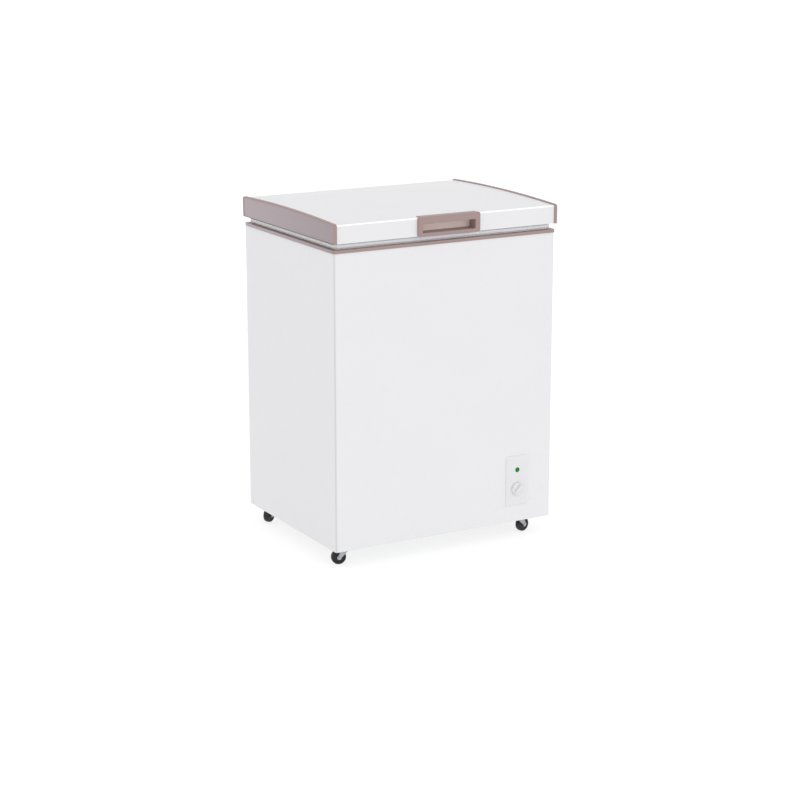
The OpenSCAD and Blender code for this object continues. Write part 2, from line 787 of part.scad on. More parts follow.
module thermostat_body() {
    color(GREY) difference() {
        translate([bezel_x, stat_y + stat.y / 2, knob_z]) cube(stat, center = true);
        translate([bezel_x, stat_y, knob_z]) rotate([90, 0, 0])
            cylinder(h = 20, r = spindle_r + run_gap, center = true);
    }
}

module thermostat_spindle() {
    color(STEEL) translate([bezel_x, stat_y + 8, knob_z]) rotate([90, 0, 0])
        cylinder(h = 8 + boss_t + bezel_out + knob_t + lift_gap, r = spindle_r);
}

module thermostat_knob() {
    color(WHITE) translate([bezel_x, bezel_y - lift_gap, knob_z]) rotate([90, 0, 0]) difference() {
        union() {
            cylinder(h = knob_t, r = knob_d / 2);
            rotate([0, 0, grip_angle]) translate([0, 0, knob_t - 0.5]) linear_extrude(grip_h + 0.5)
                rrect(knob_d - 4, 7, 3);
        }
        translate([0, 0, -eps]) cylinder(h = knob_t + eps, r = spindle_r);
    }
}

module thermostat_sensor() {
    color(COPPER) sweep_tube(route([
        [bezel_x + stat.x / 2, stat_y + 12, knob_z], [sensor_x, stat_y + 12, knob_z],
        [sensor_x, sensor_y, knob_z + 30], [sensor_x, sensor_y, comp_top + 160]], 6), 2 * sensor_r);
}

module lamp_lens() {
    color([0.02, 0.54, 0.25]) translate([bezel_x, bezel_y - 1, lamp_z]) rotate([-90, 0, 0])
        cylinder(h = 1 + bezel_out + boss_t, r = lamp_d / 2);
}

module lamp_holder() {
    color(BLACK) translate([bezel_x, -half_d + boss_t, lamp_z]) rotate([-90, 0, 0]) {
        cylinder(h = 4, r = lamp_d / 2 + 3);
        cylinder(h = 24, r = lamp_d / 2);
    }
}

// ---------------------------------------------------------------- lid

function lid_top(y) = crown_z - pow(y - crown_y, 2) / (2 * arch_r);

// Arched lid profile in Y and Z, moved inwards by i, with edges of radius r
function lid_profile(i, r, bottom) =
    let (f = lid_front + i, b = lid_rear - i)
    concat([[f, bottom]],
        arc_points([f + r, lid_top(f + r) - i - r], r, 180, 90, 6),
        [for (k = [1:19]) let (y = f + r + (b - f - 2 * r) * k / 20) [y, lid_top(y) - i]],
        arc_points([b - r, lid_top(b - r) - i - r], r, 90, 0, 6),
        [[b, bottom]]);

module pocket_cut(grow) {
    block([-slot_w / 2 - grow, lid_front - handle_out - eps, lid_z + slot_up - grow],
        [slot_w / 2 + grow, lid_front - handle_out + slot_deep + grow, lid_z + slot_up + slot_h + grow]);
}

module lid_skin() {
    color(WHITE) difference() {
        along_x(skin_w) polygon(lid_profile(0, lid_edge_r, lid_z));
        along_x(skin_w + 2) polygon(lid_profile(lid_skin_t, lid_edge_r - lid_skin_t, lid_z - eps));
        pocket_cut(pocket_t + fit_gap);
        for (s = [-1, 1], p = lid_leaf_points()) translate([s * hinge_x + p.x, lid_rear, p.y]) screw_hole();
    }
}

module lid_cap() {
    out = lid_w / 2;
    color(MAUVE) difference() {
        union() {
            translate([out - cap_t / 2, 0, 0]) along_x(cap_t) polygon(lid_profile(-cap_proud, cap_r, lid_z));
            translate([out - cap_t - tongue / 2 + 0.5, 0, 0]) along_x(tongue + 1) difference() {
                polygon(lid_profile(lid_skin_t, lid_edge_r - lid_skin_t, lid_z + panel_t));
                polygon(lid_profile(lid_skin_t + 2, lid_edge_r - lid_skin_t - 2, lid_z));
            }
        }
        translate([out, 0, 0]) along_x(2 * cap_recess)
            polygon(lid_profile(cap_rim - cap_proud, cap_r - cap_rim, lid_z - eps));
    }
}

module lid_foam() {
    long = skin_w - 2 * tongue;
    color(FOAM) difference() {
        union() {
            along_x(long) polygon(lid_profile(lid_skin_t, lid_edge_r - lid_skin_t, lid_z + panel_t));
            rblock(plug_w - 2 * panel_t, plug_d - 2 * panel_t, liner_r - panel_t, lid_z - plug_h + panel_t,
                lid_z + panel_t + eps);
        }
        pocket_cut(pocket_t + fit_gap);
        for (s = [-1, 1], p = lid_leaf_points()) translate([s * hinge_x + p.x, lid_rear, p.y]) screw_hole();
    }
}

module lid_inner_panel() {
    front = lid_front + lid_skin_t;
    back = lid_rear - lid_skin_t;
    color(WHITE) difference() {
        union() {
            block([-skin_w / 2, front, lid_z], [skin_w / 2, back, lid_z + panel_t]);
            rblock(plug_w, plug_d, liner_r, lid_z - plug_h, lid_z + panel_t);
        }
        rblock(plug_w - 2 * panel_t, plug_d - 2 * panel_t, liner_r - panel_t, lid_z - plug_h + panel_t,
            lid_z + panel_t + eps);
    }
}

module lid_gasket() {
    w = body_w - 2 * seal_in;
    d = body_d - 2 * seal_in;
    neck = 5;
    thin = seal_h / 4;
    color(GREY) difference() {
        union() {
            rblock(w - 2 * neck, d - 2 * neck, 8, rim_z + lift_gap, lid_z);
            rblock(w, d, 8 + neck, rim_z + thin, lid_z - thin);
        }
        rblock(w - 2 * seal_w, d - 2 * seal_w, 6, rim_z - eps, lid_z + eps);
    }
}

module lid_handle() {
    top = lid_top(lid_front + flange_l) + flange_t;
    face = lid_front - handle_out;
    color(MAUVE) difference() {
        union() {
            to_front(lid_front, handle_out) translate([0, (lid_z - 1 + top) / 2])
                rrect(handle_w, top - lid_z + 1, 5);
            block([-handle_w / 2 + 5, face + 2, top - flange_t - 1], [handle_w / 2 - 5, lid_front + flange_l, top]);
            block([-slot_w / 2 - pocket_t, lid_front - eps, lid_z + slot_up - pocket_t],
                [slot_w / 2 + pocket_t, face + slot_deep + pocket_t, lid_z + slot_up + slot_h + pocket_t]);
        }
        pocket_cut(0);
        along_x(handle_w + 2) polygon(concat(
            [for (p = lid_profile(0, lid_edge_r, lid_z + slot_up + slot_h + pocket_t + 1)) p]));
    }
}

function lid_leaf_points() = [[-8, lid_z + 12], [8, lid_z + 12], [0, lid_z + 25]];

module lid_screws() {
    color(STEEL) for (s = [-1, 1], p = lid_leaf_points())
        translate([s * hinge_x + p.x, lid_rear + leaf_t, p.y]) rotate([-90, 0, 0]) screw(leaf_t + 8);
}

// ---------------------------------------------------------------- hinges

module knuckle(x, length) {
    translate([x, 0, 0]) rotate([0, 90, 0]) cylinder(h = length, r = knuckle_d / 2);
}

module hinge_cabinet_leaves() {
    half = hinge_w / 2;
    color(STEEL) difference() {
        at_hinges() difference() {
            union() {
                translate([-half, -knuckle_d / 2, shell_top - leaf_h - pivot_z + 12])
                    cube([hinge_w, leaf_t, leaf_h - 6]);
                for (x = [-half, half - outer_knuckle]) {
                    knuckle(x, outer_knuckle);
                    translate([x, -knuckle_d / 2, shell_top - pivot_z]) cube([outer_knuckle, leaf_t, pivot_z - shell_top]);
                }
            }
            rotate([0, 90, 0]) cylinder(h = hinge_w + 2, r = pin_d / 2, center = true);
        }
        for (s = [-1, 1], p = leaf_screw_points())
            translate([s * hinge_x + p.x, half_d, p.y]) screw_hole();
    }
}

module hinge_lid_leaves() {
    inner = hinge_w / 2 - outer_knuckle - lift_gap;
    color(STEEL) difference() {
        union() {
            at_hinges() for (x = [-inner, inner - inner_knuckle]) knuckle(x, inner_knuckle);
            for (s = [-1, 1]) {
                x = s * hinge_x;
                block([x - inner, lid_rear, lid_z - 1], [x + inner, lid_rear + leaf_t, lid_z + 33]);
                for (k = [-inner, inner - inner_knuckle])
                    block([x + k, lid_rear, pivot_z], [x + k + inner_knuckle, lid_rear + leaf_t, lid_z]);
            }
        }
        at_hinges() rotate([0, 90, 0]) cylinder(h = hinge_w + 2, r = pin_d / 2 + run_gap, center = true);
        for (s = [-1, 1], p = lid_leaf_points()) translate([s * hinge_x + p.x, lid_rear, p.y]) screw_hole();
    }
}

module hinge_pins() {
    color(STEEL) at_hinges() rotate([0, 90, 0]) {
        cylinder(h = hinge_w + 3, r = pin_d / 2, center = true);
        translate([0, 0, hinge_w / 2]) cylinder(h = 1.5, r = pin_d / 2 + 1.2);
    }
}

module hinge_springs() {
    turns = 3;
    steps = 10;
    wire = 1.4;
    r = pin_d / 2 + 0.4 + wire / 2;
    length = hinge_w - 2 * (outer_knuckle + inner_knuckle + lift_gap) - wire - 2;
    coil = [for (i = [0:turns * steps]) let (a = 360 * i / steps)
        [length * (i / (turns * steps) - 0.5), r * cos(a), r * sin(a)]];
    color(STEEL) at_hinges() sweep_tube(concat([[-length / 2, r, -4]], coil, [[length / 2, r, 4]]), wire, 6);
}

// ---------------------------------------------------------------- basket

module wire(a, b, d = wire_d) {
    v = b - a;
    turn = abs(v.x) > 0 ? [0, 90, 0] : abs(v.y) > 0 ? [-90, 0, 0] : [0, 0, 0];
    translate(a) rotate(turn) cylinder(h = norm(v), r = d / 2, $fn = 6);
}

module wire_basket() {
    hx = basket_w / 2;
    hy = basket_d / 2;
    rim_y = cav_d / 2 + ledge_w - wire_d / 2 - 1.5;
    low = basket_top - basket_h;
    thin = wire_d * 0.7;
    nx = 6;
    ny = 9;
    color(GREY) translate([basket_x, 0, 0]) {
        for (s = [-1, 1]) {
            wire([s * hx, -rim_y - thin / 2, basket_top], [s * hx, rim_y + thin / 2, basket_top]);
            wire([-hx - thin / 2, s * rim_y, basket_top], [hx + thin / 2, s * rim_y, basket_top]);
            for (z = [low, low + basket_h / 2]) {
                wire([-hx, s * hy, z], [hx, s * hy, z], thin);
                wire([s * hx, -hy, z], [s * hx, hy, z], thin);
            }
        }
        for (i = [0:nx - 1]) {
            x = -hx + i * 2 * hx / (nx - 1);
            wire([x, -hy, low], [x, hy, low], thin);
            for (s = [-1, 1]) wire([x, s * hy, low - thin / 2], [x, s * hy, basket_top], thin);
            for (s = [-1, 1]) wire([x, s > 0 ? hy : -rim_y, basket_top], [x, s > 0 ? rim_y : -hy, basket_top], thin);
        }
        for (i = [1:ny - 1]) {
            y = -hy + i * 2 * hy / ny;
            wire([-hx, y, low], [hx, y, low], thin);
            for (s = [-1, 1]) wire([s * hx, y, low - thin / 2], [s * hx, y, basket_top], thin);
        }
    }
}

// ---------------------------------------------------------------- casters

module at_caster(i) {
    translate([swivel[i].x, swivel[i].y, 0]) rotate([0, 0, caster_turn[i]]) children();
}

module caster_plates() {
    color(STEEL) for (s = swivel) translate([s.x, s.y, plate_z - top_plate.z]) difference() {
        linear_extrude(top_plate.z) rrect(top_plate.x, top_plate.y, 4);
        cylinder(h = 10, r = kingpin_r, center = true);
        for (p = caster_screw_points()) translate([p.x, p.y, 0]) cylinder(h = 10, r = screw_r + run_gap, center = true);
    }
}

module caster_kingpins() {
    color(STEEL) for (s = swivel) translate([s.x, s.y, 0]) {
        translate([0, 0, web_top - fork_t - lift_gap - 1.6]) cylinder(h = 1.6, r = kingpin_r + 2.5);
        translate([0, 0, web_top - fork_t - lift_gap - 1]) cylinder(h = plate_z - web_top + fork_t + lift_gap + 1, r = kingpin_r);
    }
}

module caster_screws() {
    color(STEEL) for (s = swivel, p = caster_screw_points())
        translate([s.x + p.x, s.y + p.y, plate_z - top_plate.z]) rotate([180, 0, 0])
            scale(0.8) screw((top_plate.z + 7) / 0.8);
}

module caster_fork(i) {
    boss = 5.5;
    outer = fork_gap + fork_t;
    color(STEEL) at_caster(i) difference() {
        union() {
            translate([0, 0, web_top - fork_t]) cylinder(h = fork_t, r = outer + 2);
            translate([0, -outer, web_top - fork_t]) cube([trail * 0.7, 2 * outer, fork_t]);
            translate([0, 0, web_top - 0.5]) cylinder(h = plate_z - top_plate.z - web_top + 0.5 - lift_gap, r = outer);
            for (s = [-1, 1]) translate([0, s * (outer - fork_t / 2), 0]) rotate([90, 0, 0])
                linear_extrude(fork_t, center = true) {
                    polygon([[-4, web_top], [trail * 0.7, web_top], [trail + boss, wheel_r], [trail - boss, wheel_r]]);
                    translate([trail, wheel_r]) circle(boss);
                }
        }
        cylinder(h = 100, r = kingpin_r + run_gap);
        translate([trail, 0, wheel_r]) rotate([90, 0, 0]) cylinder(h = 60, r = axle_r, center = true);
    }
}

module caster_axle(i) {
    outer = fork_gap + fork_t;
    color(STEEL) at_caster(i) translate([trail, 0, wheel_r]) rotate([90, 0, 0]) {
        cylinder(h = 2 * outer + 2, r = axle_r, center = true);
        for (s = [-1, 1]) translate([0, 0, s * (outer + 0.6)]) cylinder(h = 1.2, r = axle_r + 1.6, center = true);
    }
}

module caster_wheel(i) {
    color(BLACK) at_caster(i) translate([trail, 0, wheel_r]) rotate([90, 0, 0]) difference() {
        rotate_extrude() intersection() {
            rrect(2 * wheel_r, wheel_w, 4);
            translate([0, -wheel_w]) square([wheel_r, 2 * wheel_w]);
        }
        for (s = [-1, 1]) translate([0, 0, s * wheel_w / 2]) difference() {
            cylinder(h = 4, r = wheel_r - 5, center = true);
            cylinder(h = 6, r = 6, center = true);
        }
        cylinder(h = 60, r = axle_r + run_gap, center = true);
    }
}

// ---------------------------------------------------------------- assembly

outer_shell();
back_panel();
base_plate();
compartment_panel();
cabinet_foam();
wall_foam();
inner_liner();
rim_collar();
condenser_tube();
evaporator_tube();
compressor();
compressor_base();
compressor_grommets();
compressor_bolts();
start_relay();
filter_drier();
capillary_tube();
suction_line();
discharge_line();
wiring_harness();
cord_gland();
rear_grille();
back_screws();
control_bezel();
thermostat_body();
thermostat_sensor();
thermostat_spindle();
thermostat_knob();
lamp_holder();
lamp_lens();
drain_tube();
drain_plug();
wire_basket();
lid_skin();
lid_foam();
lid_inner_panel();
lid_gasket();
mirror([1, 0, 0]) lid_cap();  // lid_cap_left
lid_cap();  // lid_cap_right
lid_handle();
lid_screws();
hinge_cabinet_leaves();
hinge_lid_leaves();
hinge_pins();
hinge_springs();
caster_plates();
caster_kingpins();
caster_screws();
caster_fork(0);  // caster_fork_fl
caster_fork(1);  // caster_fork_fr
caster_fork(2);  // caster_fork_rl
caster_fork(3);  // caster_fork_rr
caster_axle(0);  // caster_axle_fl
caster_axle(1);  // caster_axle_fr
caster_axle(2);  // caster_axle_rl
caster_axle(3);  // caster_axle_rr
caster_wheel(0);  // caster_wheel_fl
caster_wheel(1);  // caster_wheel_fr
caster_wheel(2);  // caster_wheel_rl
caster_wheel(3);  // caster_wheel_rr
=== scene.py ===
"""Builds the looks of a small chest freezer on casters: white cabinet, arched lid with mauve
trims, control panel, hinges, basket, refrigeration pieces and casters, then a pale studio."""

import json
import math

import bmesh
import bpy
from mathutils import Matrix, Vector


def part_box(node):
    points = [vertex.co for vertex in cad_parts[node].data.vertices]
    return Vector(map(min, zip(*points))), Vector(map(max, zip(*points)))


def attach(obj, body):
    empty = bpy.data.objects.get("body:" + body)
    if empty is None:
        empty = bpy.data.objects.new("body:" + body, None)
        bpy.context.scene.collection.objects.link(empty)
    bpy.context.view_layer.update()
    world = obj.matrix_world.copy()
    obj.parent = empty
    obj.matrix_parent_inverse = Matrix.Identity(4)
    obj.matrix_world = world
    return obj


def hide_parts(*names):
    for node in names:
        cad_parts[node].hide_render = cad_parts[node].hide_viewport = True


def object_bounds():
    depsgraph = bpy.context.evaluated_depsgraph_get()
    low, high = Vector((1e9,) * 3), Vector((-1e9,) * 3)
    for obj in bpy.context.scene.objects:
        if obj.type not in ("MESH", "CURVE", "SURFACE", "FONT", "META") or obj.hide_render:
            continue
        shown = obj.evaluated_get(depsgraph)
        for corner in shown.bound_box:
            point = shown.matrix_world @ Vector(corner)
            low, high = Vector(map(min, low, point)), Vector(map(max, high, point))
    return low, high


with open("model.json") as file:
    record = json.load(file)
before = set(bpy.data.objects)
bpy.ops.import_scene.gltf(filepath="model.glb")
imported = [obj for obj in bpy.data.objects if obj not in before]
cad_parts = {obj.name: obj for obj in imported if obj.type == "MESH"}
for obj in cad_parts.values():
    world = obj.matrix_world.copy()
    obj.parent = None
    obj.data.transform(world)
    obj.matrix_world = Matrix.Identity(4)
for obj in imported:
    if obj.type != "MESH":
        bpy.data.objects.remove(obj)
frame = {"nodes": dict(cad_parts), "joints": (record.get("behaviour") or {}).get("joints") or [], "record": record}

bl_info = {
    "name": "Chest freezer looks",
    "version": (1, 0, 0),
    "blender": (4, 5, 0),
    "location": "3D View > Sidebar > Freezer",
    "description": "Finishes and detail pieces for a chest freezer",
    "category": "Object",
}

MM = 0.001
CAD_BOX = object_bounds()
RECORD = frame["record"]
SLOT_OF = {part["node"]: part["material_slot"] for part in RECORD["subparts"]}
CASTERS = ("fl", "fr", "rl", "rr")
EYE = (-2.5172, -4.4086, 1.6296)
EYE_YAW = 29.769
EYE_PITCH = 14.332
SENSOR_WIDTH = 36
KEY_FROM = (0.2, -0.9, 0.38)
KEY_SPREAD = 42
FLOOR_REACH = 60.0


def srgb(red, green, blue):
    """Display colour, 0 to 255, as the linear triple that Blender's colour fields hold."""
    def linear(value):
        level = value / 255
        return level / 12.92 if level <= 0.04045 else ((level + 0.055) / 1.055) ** 2.4

    return (linear(red), linear(green), linear(blue))


# ---------------------------------------------------------------- settings


def tint(name, description, default):
    return bpy.props.FloatVectorProperty(
        name=name, description=description, subtype="COLOR", size=3, min=0, max=1, default=default
    )


def length(name, description, default, low, high):
    return bpy.props.FloatProperty(
        name=name, description=description, subtype="DISTANCE", unit="LENGTH",
        default=default, min=low, max=high, precision=5,
    )


def share(name, description, default, high=1.0):
    return bpy.props.FloatProperty(
        name=name, description=description, subtype="FACTOR", default=default, min=0, max=high
    )


class FreezerCoat(bpy.types.PropertyGroup):
    """Colours and texture of the painted sheets"""

    coat: tint("Coat", "Powder coat of the cabinet and the lid", srgb(224, 224, 226))
    liner: tint("Liner", "Embossed sheet inside the cabinet", srgb(230, 232, 235))
    zinc: tint("Zinc", "Zinc-plated base and brackets", srgb(176, 179, 184))
    gloss: share("Roughness", "Roughness of the powder coat", 0.38)
    peel: length("Orange peel", "Height of the coat's orange peel", 0.00005, 0, 0.0005)


class FreezerTrim(bpy.types.PropertyGroup):
    """Colours and sizes of the mouldings"""

    mauve: tint("Mauve", "Lid caps, handle and rim collar", srgb(158, 136, 133))
    satin: tint("Cap satin", "Recessed faces of the lid caps", srgb(168, 155, 160))
    white: tint("White moulding", "Control panel, knob and lid panel", srgb(221, 221, 223))
    seal: tint("Seal", "Lid gasket", srgb(225, 226, 229))
    black: tint("Black moulding", "Grille, holders and wheels", srgb(22, 22, 24))
    lens: tint("Lamp", "Lens of the running lamp", srgb(0, 122, 48))
    edge: length("Moulded edge", "Rounding of a moulded edge", 0.0006, 0.0001, 0.003)


class FreezerStage(bpy.types.PropertyGroup):
    """Floor, sky, key light and camera"""

    floor: tint("Floor", "Pale floor and backdrop", srgb(254, 254, 254))
    glow: share("Floor glow", "Light that the pale floor gives back by itself", 0.8)
    sky: share("Sky", "Strength of the even light from all sides", 1.0, 3)
    key: share("Key", "Strength of the soft light from the front", 0.36, 3)
    lens: bpy.props.FloatProperty(
        name="Lens", description="Focal length in millimetres", default=92.73, min=20, max=200
    )


# ---------------------------------------------------------------- finishes


class Wire:
    """A node's output that can stand in a Python expression; each operator adds its Math node."""

    def __init__(self, paint, socket):
        self.paint, self.socket = paint, socket

    def __add__(self, other):
        return self.paint.maths("ADD", self, other)

    def __sub__(self, other):
        return self.paint.maths("SUBTRACT", self, other)

    def __rsub__(self, other):
        return self.paint.maths("SUBTRACT", other, self)

    def __mul__(self, other):
        return self.paint.maths("MULTIPLY", self, other)

    __radd__ = __add__
    __rmul__ = __mul__

    def absolute(self):
        return self.paint.maths("ABSOLUTE", self)


class Paint:
    """A material in the making. Patterns are placed by the piece's own coordinates, in metres."""

    def __init__(self, name):
        self.material = bpy.data.materials.new(name)
        self.material.use_nodes = True
        self.tree = self.material.node_tree
        self.shader = self.tree.nodes["Principled BSDF"]
        self.place = self.node("ShaderNodeTexCoord", out="Object")
        self.facing = self.node("ShaderNodeTexCoord", out="Normal")

    def node(self, kind, settings=None, values=None, out=0):
        """Adds a node: settings first, such as a ramp's stops, then socket values or links."""
        made = self.tree.nodes.new(kind)
        for name, value in (settings or {}).items():
            if name == "stops":
                points = made.color_ramp.elements
                while len(points) < len(value):
                    points.new(0.5)
                for point, (position, colour) in zip(points, value):
                    point.position = position
                    point.color = (*colour, 1) if len(colour) == 3 else colour
            else:
                setattr(made, name, value)
        for name, value in (values or {}).items():
            if isinstance(value, Wire):
                self.tree.links.new(value.socket, made.inputs[name])
            else:
                made.inputs[name].default_value = value
        return Wire(self, made.outputs[out])

    def maths(self, operation, *terms):
        return self.node("ShaderNodeMath", {"operation": operation}, dict(enumerate(terms)))

    def stretched(self, scale):
        return self.node(
            "ShaderNodeVectorMath", {"operation": "MULTIPLY"}, {0: self.place, 1: scale}
        )

    def noise(self, per_metre, detail=2.0, place=None):
        return self.node(
            "ShaderNodeTexNoise", {},
            {"Vector": place or self.place, "Scale": per_metre, "Detail": detail},
        )

    def cells(self, per_metre, feature="F1", out="Distance", jitter=1.0):
        return self.node(
            "ShaderNodeTexVoronoi", {"feature": feature},
            {"Vector": self.place, "Scale": per_metre, "Randomness": jitter}, out,
        )

    def ramp(self, value, *stops):
        return self.node("ShaderNodeValToRGB", {"stops": stops}, {0: value})

    def step(self, value, low, high):
        """0 below low, 1 above high, and smooth between them."""
        return self.node(
            "ShaderNodeMapRange", {"interpolation_type": "SMOOTHSTEP"},
            {"Value": value, "From Min": low, "From Max": high},
        )

    def mix(self, factor, first, second):
        """Colour mix; plain triples are made opaque."""
        first, second = (
            c if isinstance(c, Wire) else (*c[:3], 1) for c in (first, second)
        )
        return self.node(
            "ShaderNodeMix", {"data_type": "RGBA"}, {0: factor, 6: first, 7: second}, 2
        )

    def along(self, vector, axis):
        """One part of a place or a direction: 0 for x, 1 for y, 2 for z."""
        return self.node("ShaderNodeSeparateXYZ", {}, {0: vector}, axis)

    def between(self, value, rise, fall):
        """1 inside a band, with a smooth (start, end) rise and fall."""
        return self.step(value, *rise) * (1 - self.step(value, *fall))

    def bump(self, height, depth):
        """Normal of a relief that is depth metres high."""
        return self.node(
            "ShaderNodeBump", {}, {"Height": height, "Distance": depth, "Strength": 1.0}
        )

    def done(self, **values):
        """Sets the shader's sockets; an underscore in a name stands for a space."""
        for name, value in values.items():
            socket = self.shader.inputs[name.replace("_", " ")]
            if isinstance(value, Wire):
                self.tree.links.new(value.socket, socket)
            elif socket.type == "RGBA":
                socket.default_value = (*value[:3], 1)
            else:
                socket.default_value = value
        return self.material


def darker(colour, by):
    return tuple(channel * by for channel in colour[:3])


def powder_coat(paint, colour, rough, peel):
    """Sprayed steel: orange peel, specks and handled areas, with painted shade on the rounded corners between
    front and side and a painted highlight along the folds between front and top.
    """
    drift = paint.noise(5, 3)
    handled = paint.step(paint.noise(38, 4), 0.52, 0.74)
    base = paint.mix(drift, darker(colour, 0.975), colour)
    base = paint.mix(handled * 0.12, base, darker(colour, 0.9))
    speck = 1 - paint.step(paint.cells(430), 0.02, 0.05)
    base = paint.mix(speck * 0.1, base, darker(colour, 0.72))
    side, front, up = (paint.along(paint.facing, axis).absolute() for axis in range(3))
    # painted shade: the colour darkens where the normal turns between front and side, on the rounded vertical
    # corners
    corner = paint.step(side * front, 0.2, 0.42)
    # painted highlight: the colour is made paler where the normal turns between front and top, on folds such as
    # the lid's front edge
    painted_fold_highlight = paint.step(front * up, 0.15, 0.4)
    base = paint.mix(corner * 0.5, base, darker(colour, 0.66))
    base = paint.mix(painted_fold_highlight, base, tuple(min(1, c * 1.35) for c in colour))
    relief = paint.noise(260, 2) + 0.35 * paint.noise(950, 2)
    return paint.done(
        Base_Color=base, Roughness=rough - 0.05 + 0.1 * paint.noise(16, 3),
        Normal=paint.bump(relief, peel), Coat_Weight=0.12, Coat_Roughness=0.25,
        Specular_IOR_Level=0.42,
    )


def embossed_sheet(paint, colour):
    """Stucco-embossed liner with a thin, uneven frost."""
    pits = paint.cells(230, "SMOOTH_F1")
    relief = paint.step(pits, 0.15, 0.6)
    base = paint.mix(relief * 0.5, colour, darker(colour, 0.93))
    frost = paint.step(paint.noise(22, 4), 0.5, 0.8)
    return paint.done(
        Base_Color=paint.mix(frost * 0.15, base, srgb(246, 249, 252)), Roughness=0.3 + 0.2 * frost,
        Normal=paint.bump(relief, 0.00035), Specular_IOR_Level=0.5,
    )


def zinc_plate(paint, colour, rough=0.38):
    """Hot-dipped sheet with zinc flakes, dull smears and scratches."""
    flakes = paint.cells(70, out="Color")
    tone = paint.node("ShaderNodeSeparateColor", {}, {0: flakes})
    smear = paint.noise(9, 4)
    base = paint.mix(tone * 0.7, darker(colour, 0.8), colour)
    base = paint.mix(paint.step(smear, 0.55, 0.8) * 0.3, base, darker(colour, 0.62))
    scratch = paint.noise(60, 3, paint.stretched((1, 12, 12)))
    return paint.done(
        Base_Color=base, Metallic=0.85, Roughness=rough - 0.08 + 0.22 * smear,
        Normal=paint.bump(scratch, 0.00003),
    )


def pressed_steel(paint, colour, rough):
    """Plated fittings with worn spots."""
    broad = paint.noise(70, 4)
    fine = paint.noise(900, 3)
    base = paint.mix(broad, darker(colour, 0.82), colour)
    worn = paint.step(paint.noise(210, 5), 0.56, 0.7)
    base = paint.mix(worn * 0.4, base, darker(colour, 0.6))
    return paint.done(
        Base_Color=base, Metallic=0.75, Roughness=rough - 0.05 + 0.18 * broad,
        Normal=paint.bump(fine, 0.00004),
    )


def poured_foam(paint, colour):
    """Rigid foam with open pores and lumps."""
    pores = paint.cells(420)
    lumps = paint.noise(30, 5)
    base = paint.mix(lumps, darker(colour, 0.72), colour)
    base = paint.mix(paint.step(pores, 0.0, 0.35), darker(colour, 0.55), base)
    return paint.done(
        Base_Color=base, Roughness=0.92,
        Normal=paint.bump(paint.step(pores, 0, 0.5) + 2 * lumps, 0.0009), Specular_IOR_Level=0.2,
    )


def moulding(paint, colour, rough, grain=1500, depth=0.00003, cloud=0.94):
    """Grained plastic that is slightly cloudy."""
    cloudy = paint.noise(14, 4)
    base = paint.mix(cloudy, darker(colour, cloud), colour)
    fine = paint.noise(grain, 2)
    sunk = 1 - paint.step(fine, 0.3, 0.5)
    base = paint.mix(sunk * 0.25, base, darker(colour, 0.85))
    return paint.done(
        Base_Color=base, Roughness=rough - 0.06 + 0.12 * paint.noise(45, 3),
        Normal=paint.bump(fine, depth), Specular_IOR_Level=0.45,
    )


def two_tone_moulding_and_painted_light(paint, colour, field):
    """Mauve moulding. The caps' recessed faces, just inside their rims, have a cooler satin that is
    darkened towards the front as painted shade, and the back wall of the handle's slot is made
    paler as painted light against the shade that falls in the slot."""
    side = CAD_BOX[1].x
    across = paint.along(paint.place, 0).absolute()
    back = paint.along(paint.place, 1)
    facing_side = paint.step(paint.along(paint.facing, 0).absolute(), 0.7, 0.95)
    facing_front = paint.step(paint.along(paint.facing, 1).absolute(), 0.7, 0.95)

    recess = paint.between(across, (side - 0.0020, side - 0.0016), (side - 0.0010, side - 0.0006))
    sunk = recess * facing_side
    # painted shade: the satin goes from full colour at the rear down to 0.8 of it at the front
    depth = paint.node(
        "ShaderNodeMapRange", {}, {"Value": back, "From Min": -0.24, "From Max": 0.24}
    )
    satin = paint.mix(depth, darker(field, 0.80), field)
    base = paint.mix(paint.noise(14, 4), darker(colour, 0.95), colour)
    base = paint.mix(sunk, base, satin)

    # painted light: the back wall of the handle's slot is made paler to brighten the shade that falls in the slot
    pocket = paint.between(back, (-0.2260, -0.2215), (-0.2150, -0.2130))
    wall = pocket * facing_front * (1 - paint.step(across, 0.075, 0.08))
    base = paint.mix(wall, base, srgb(236, 218, 213))

    fine = paint.noise(1700, 2)
    base = paint.mix((1 - paint.step(fine, 0.3, 0.5)) * 0.2, base, darker(colour, 0.85))
    return paint.done(
        Base_Color=base, Roughness=0.4 + 0.1 * paint.noise(45, 3) - 0.08 * sunk,
        Normal=paint.bump(fine, 0.00003), Specular_IOR_Level=0.45,
    )


def rubber(paint, colour, rough):
    """Matt rubber with a dry bloom and fine lines."""
    bloom = paint.step(paint.noise(60, 5), 0.42, 0.72)
    base = paint.mix(bloom * 0.3, colour, darker(colour, 1.12))
    lines = paint.noise(500, 3, paint.stretched((0.3, 0.3, 3)))
    return paint.done(
        Base_Color=base, Roughness=rough + 0.12 * bloom,
        Normal=paint.bump(lines, 0.00006), Specular_IOR_Level=0.3,
    )


def drawn_tube(paint, colour, stain):
    """Bare metal tube with stained stretches."""
    broad = paint.noise(24, 5)
    base = paint.mix(paint.step(broad, 0.46, 0.68), colour, stain)
    lines = paint.noise(1200, 2)
    return paint.done(
        Base_Color=base, Metallic=0.95, Roughness=0.3 + 0.2 * broad,
        Normal=paint.bump(lines, 0.00003),
    )


def lamp_lens(paint, colour):
    """Tinted lens that glows faintly."""
    base = paint.mix(paint.noise(240, 2), darker(colour, 0.8), colour)
    return paint.done(
        Base_Color=base, Roughness=0.3, Coat_Weight=0.1, Coat_Roughness=0.05,
        Specular_IOR_Level=0.15, Emission_Color=base, Emission_Strength=0.05,
        Normal=paint.bump(paint.noise(1400, 2), 0.00002),
    )


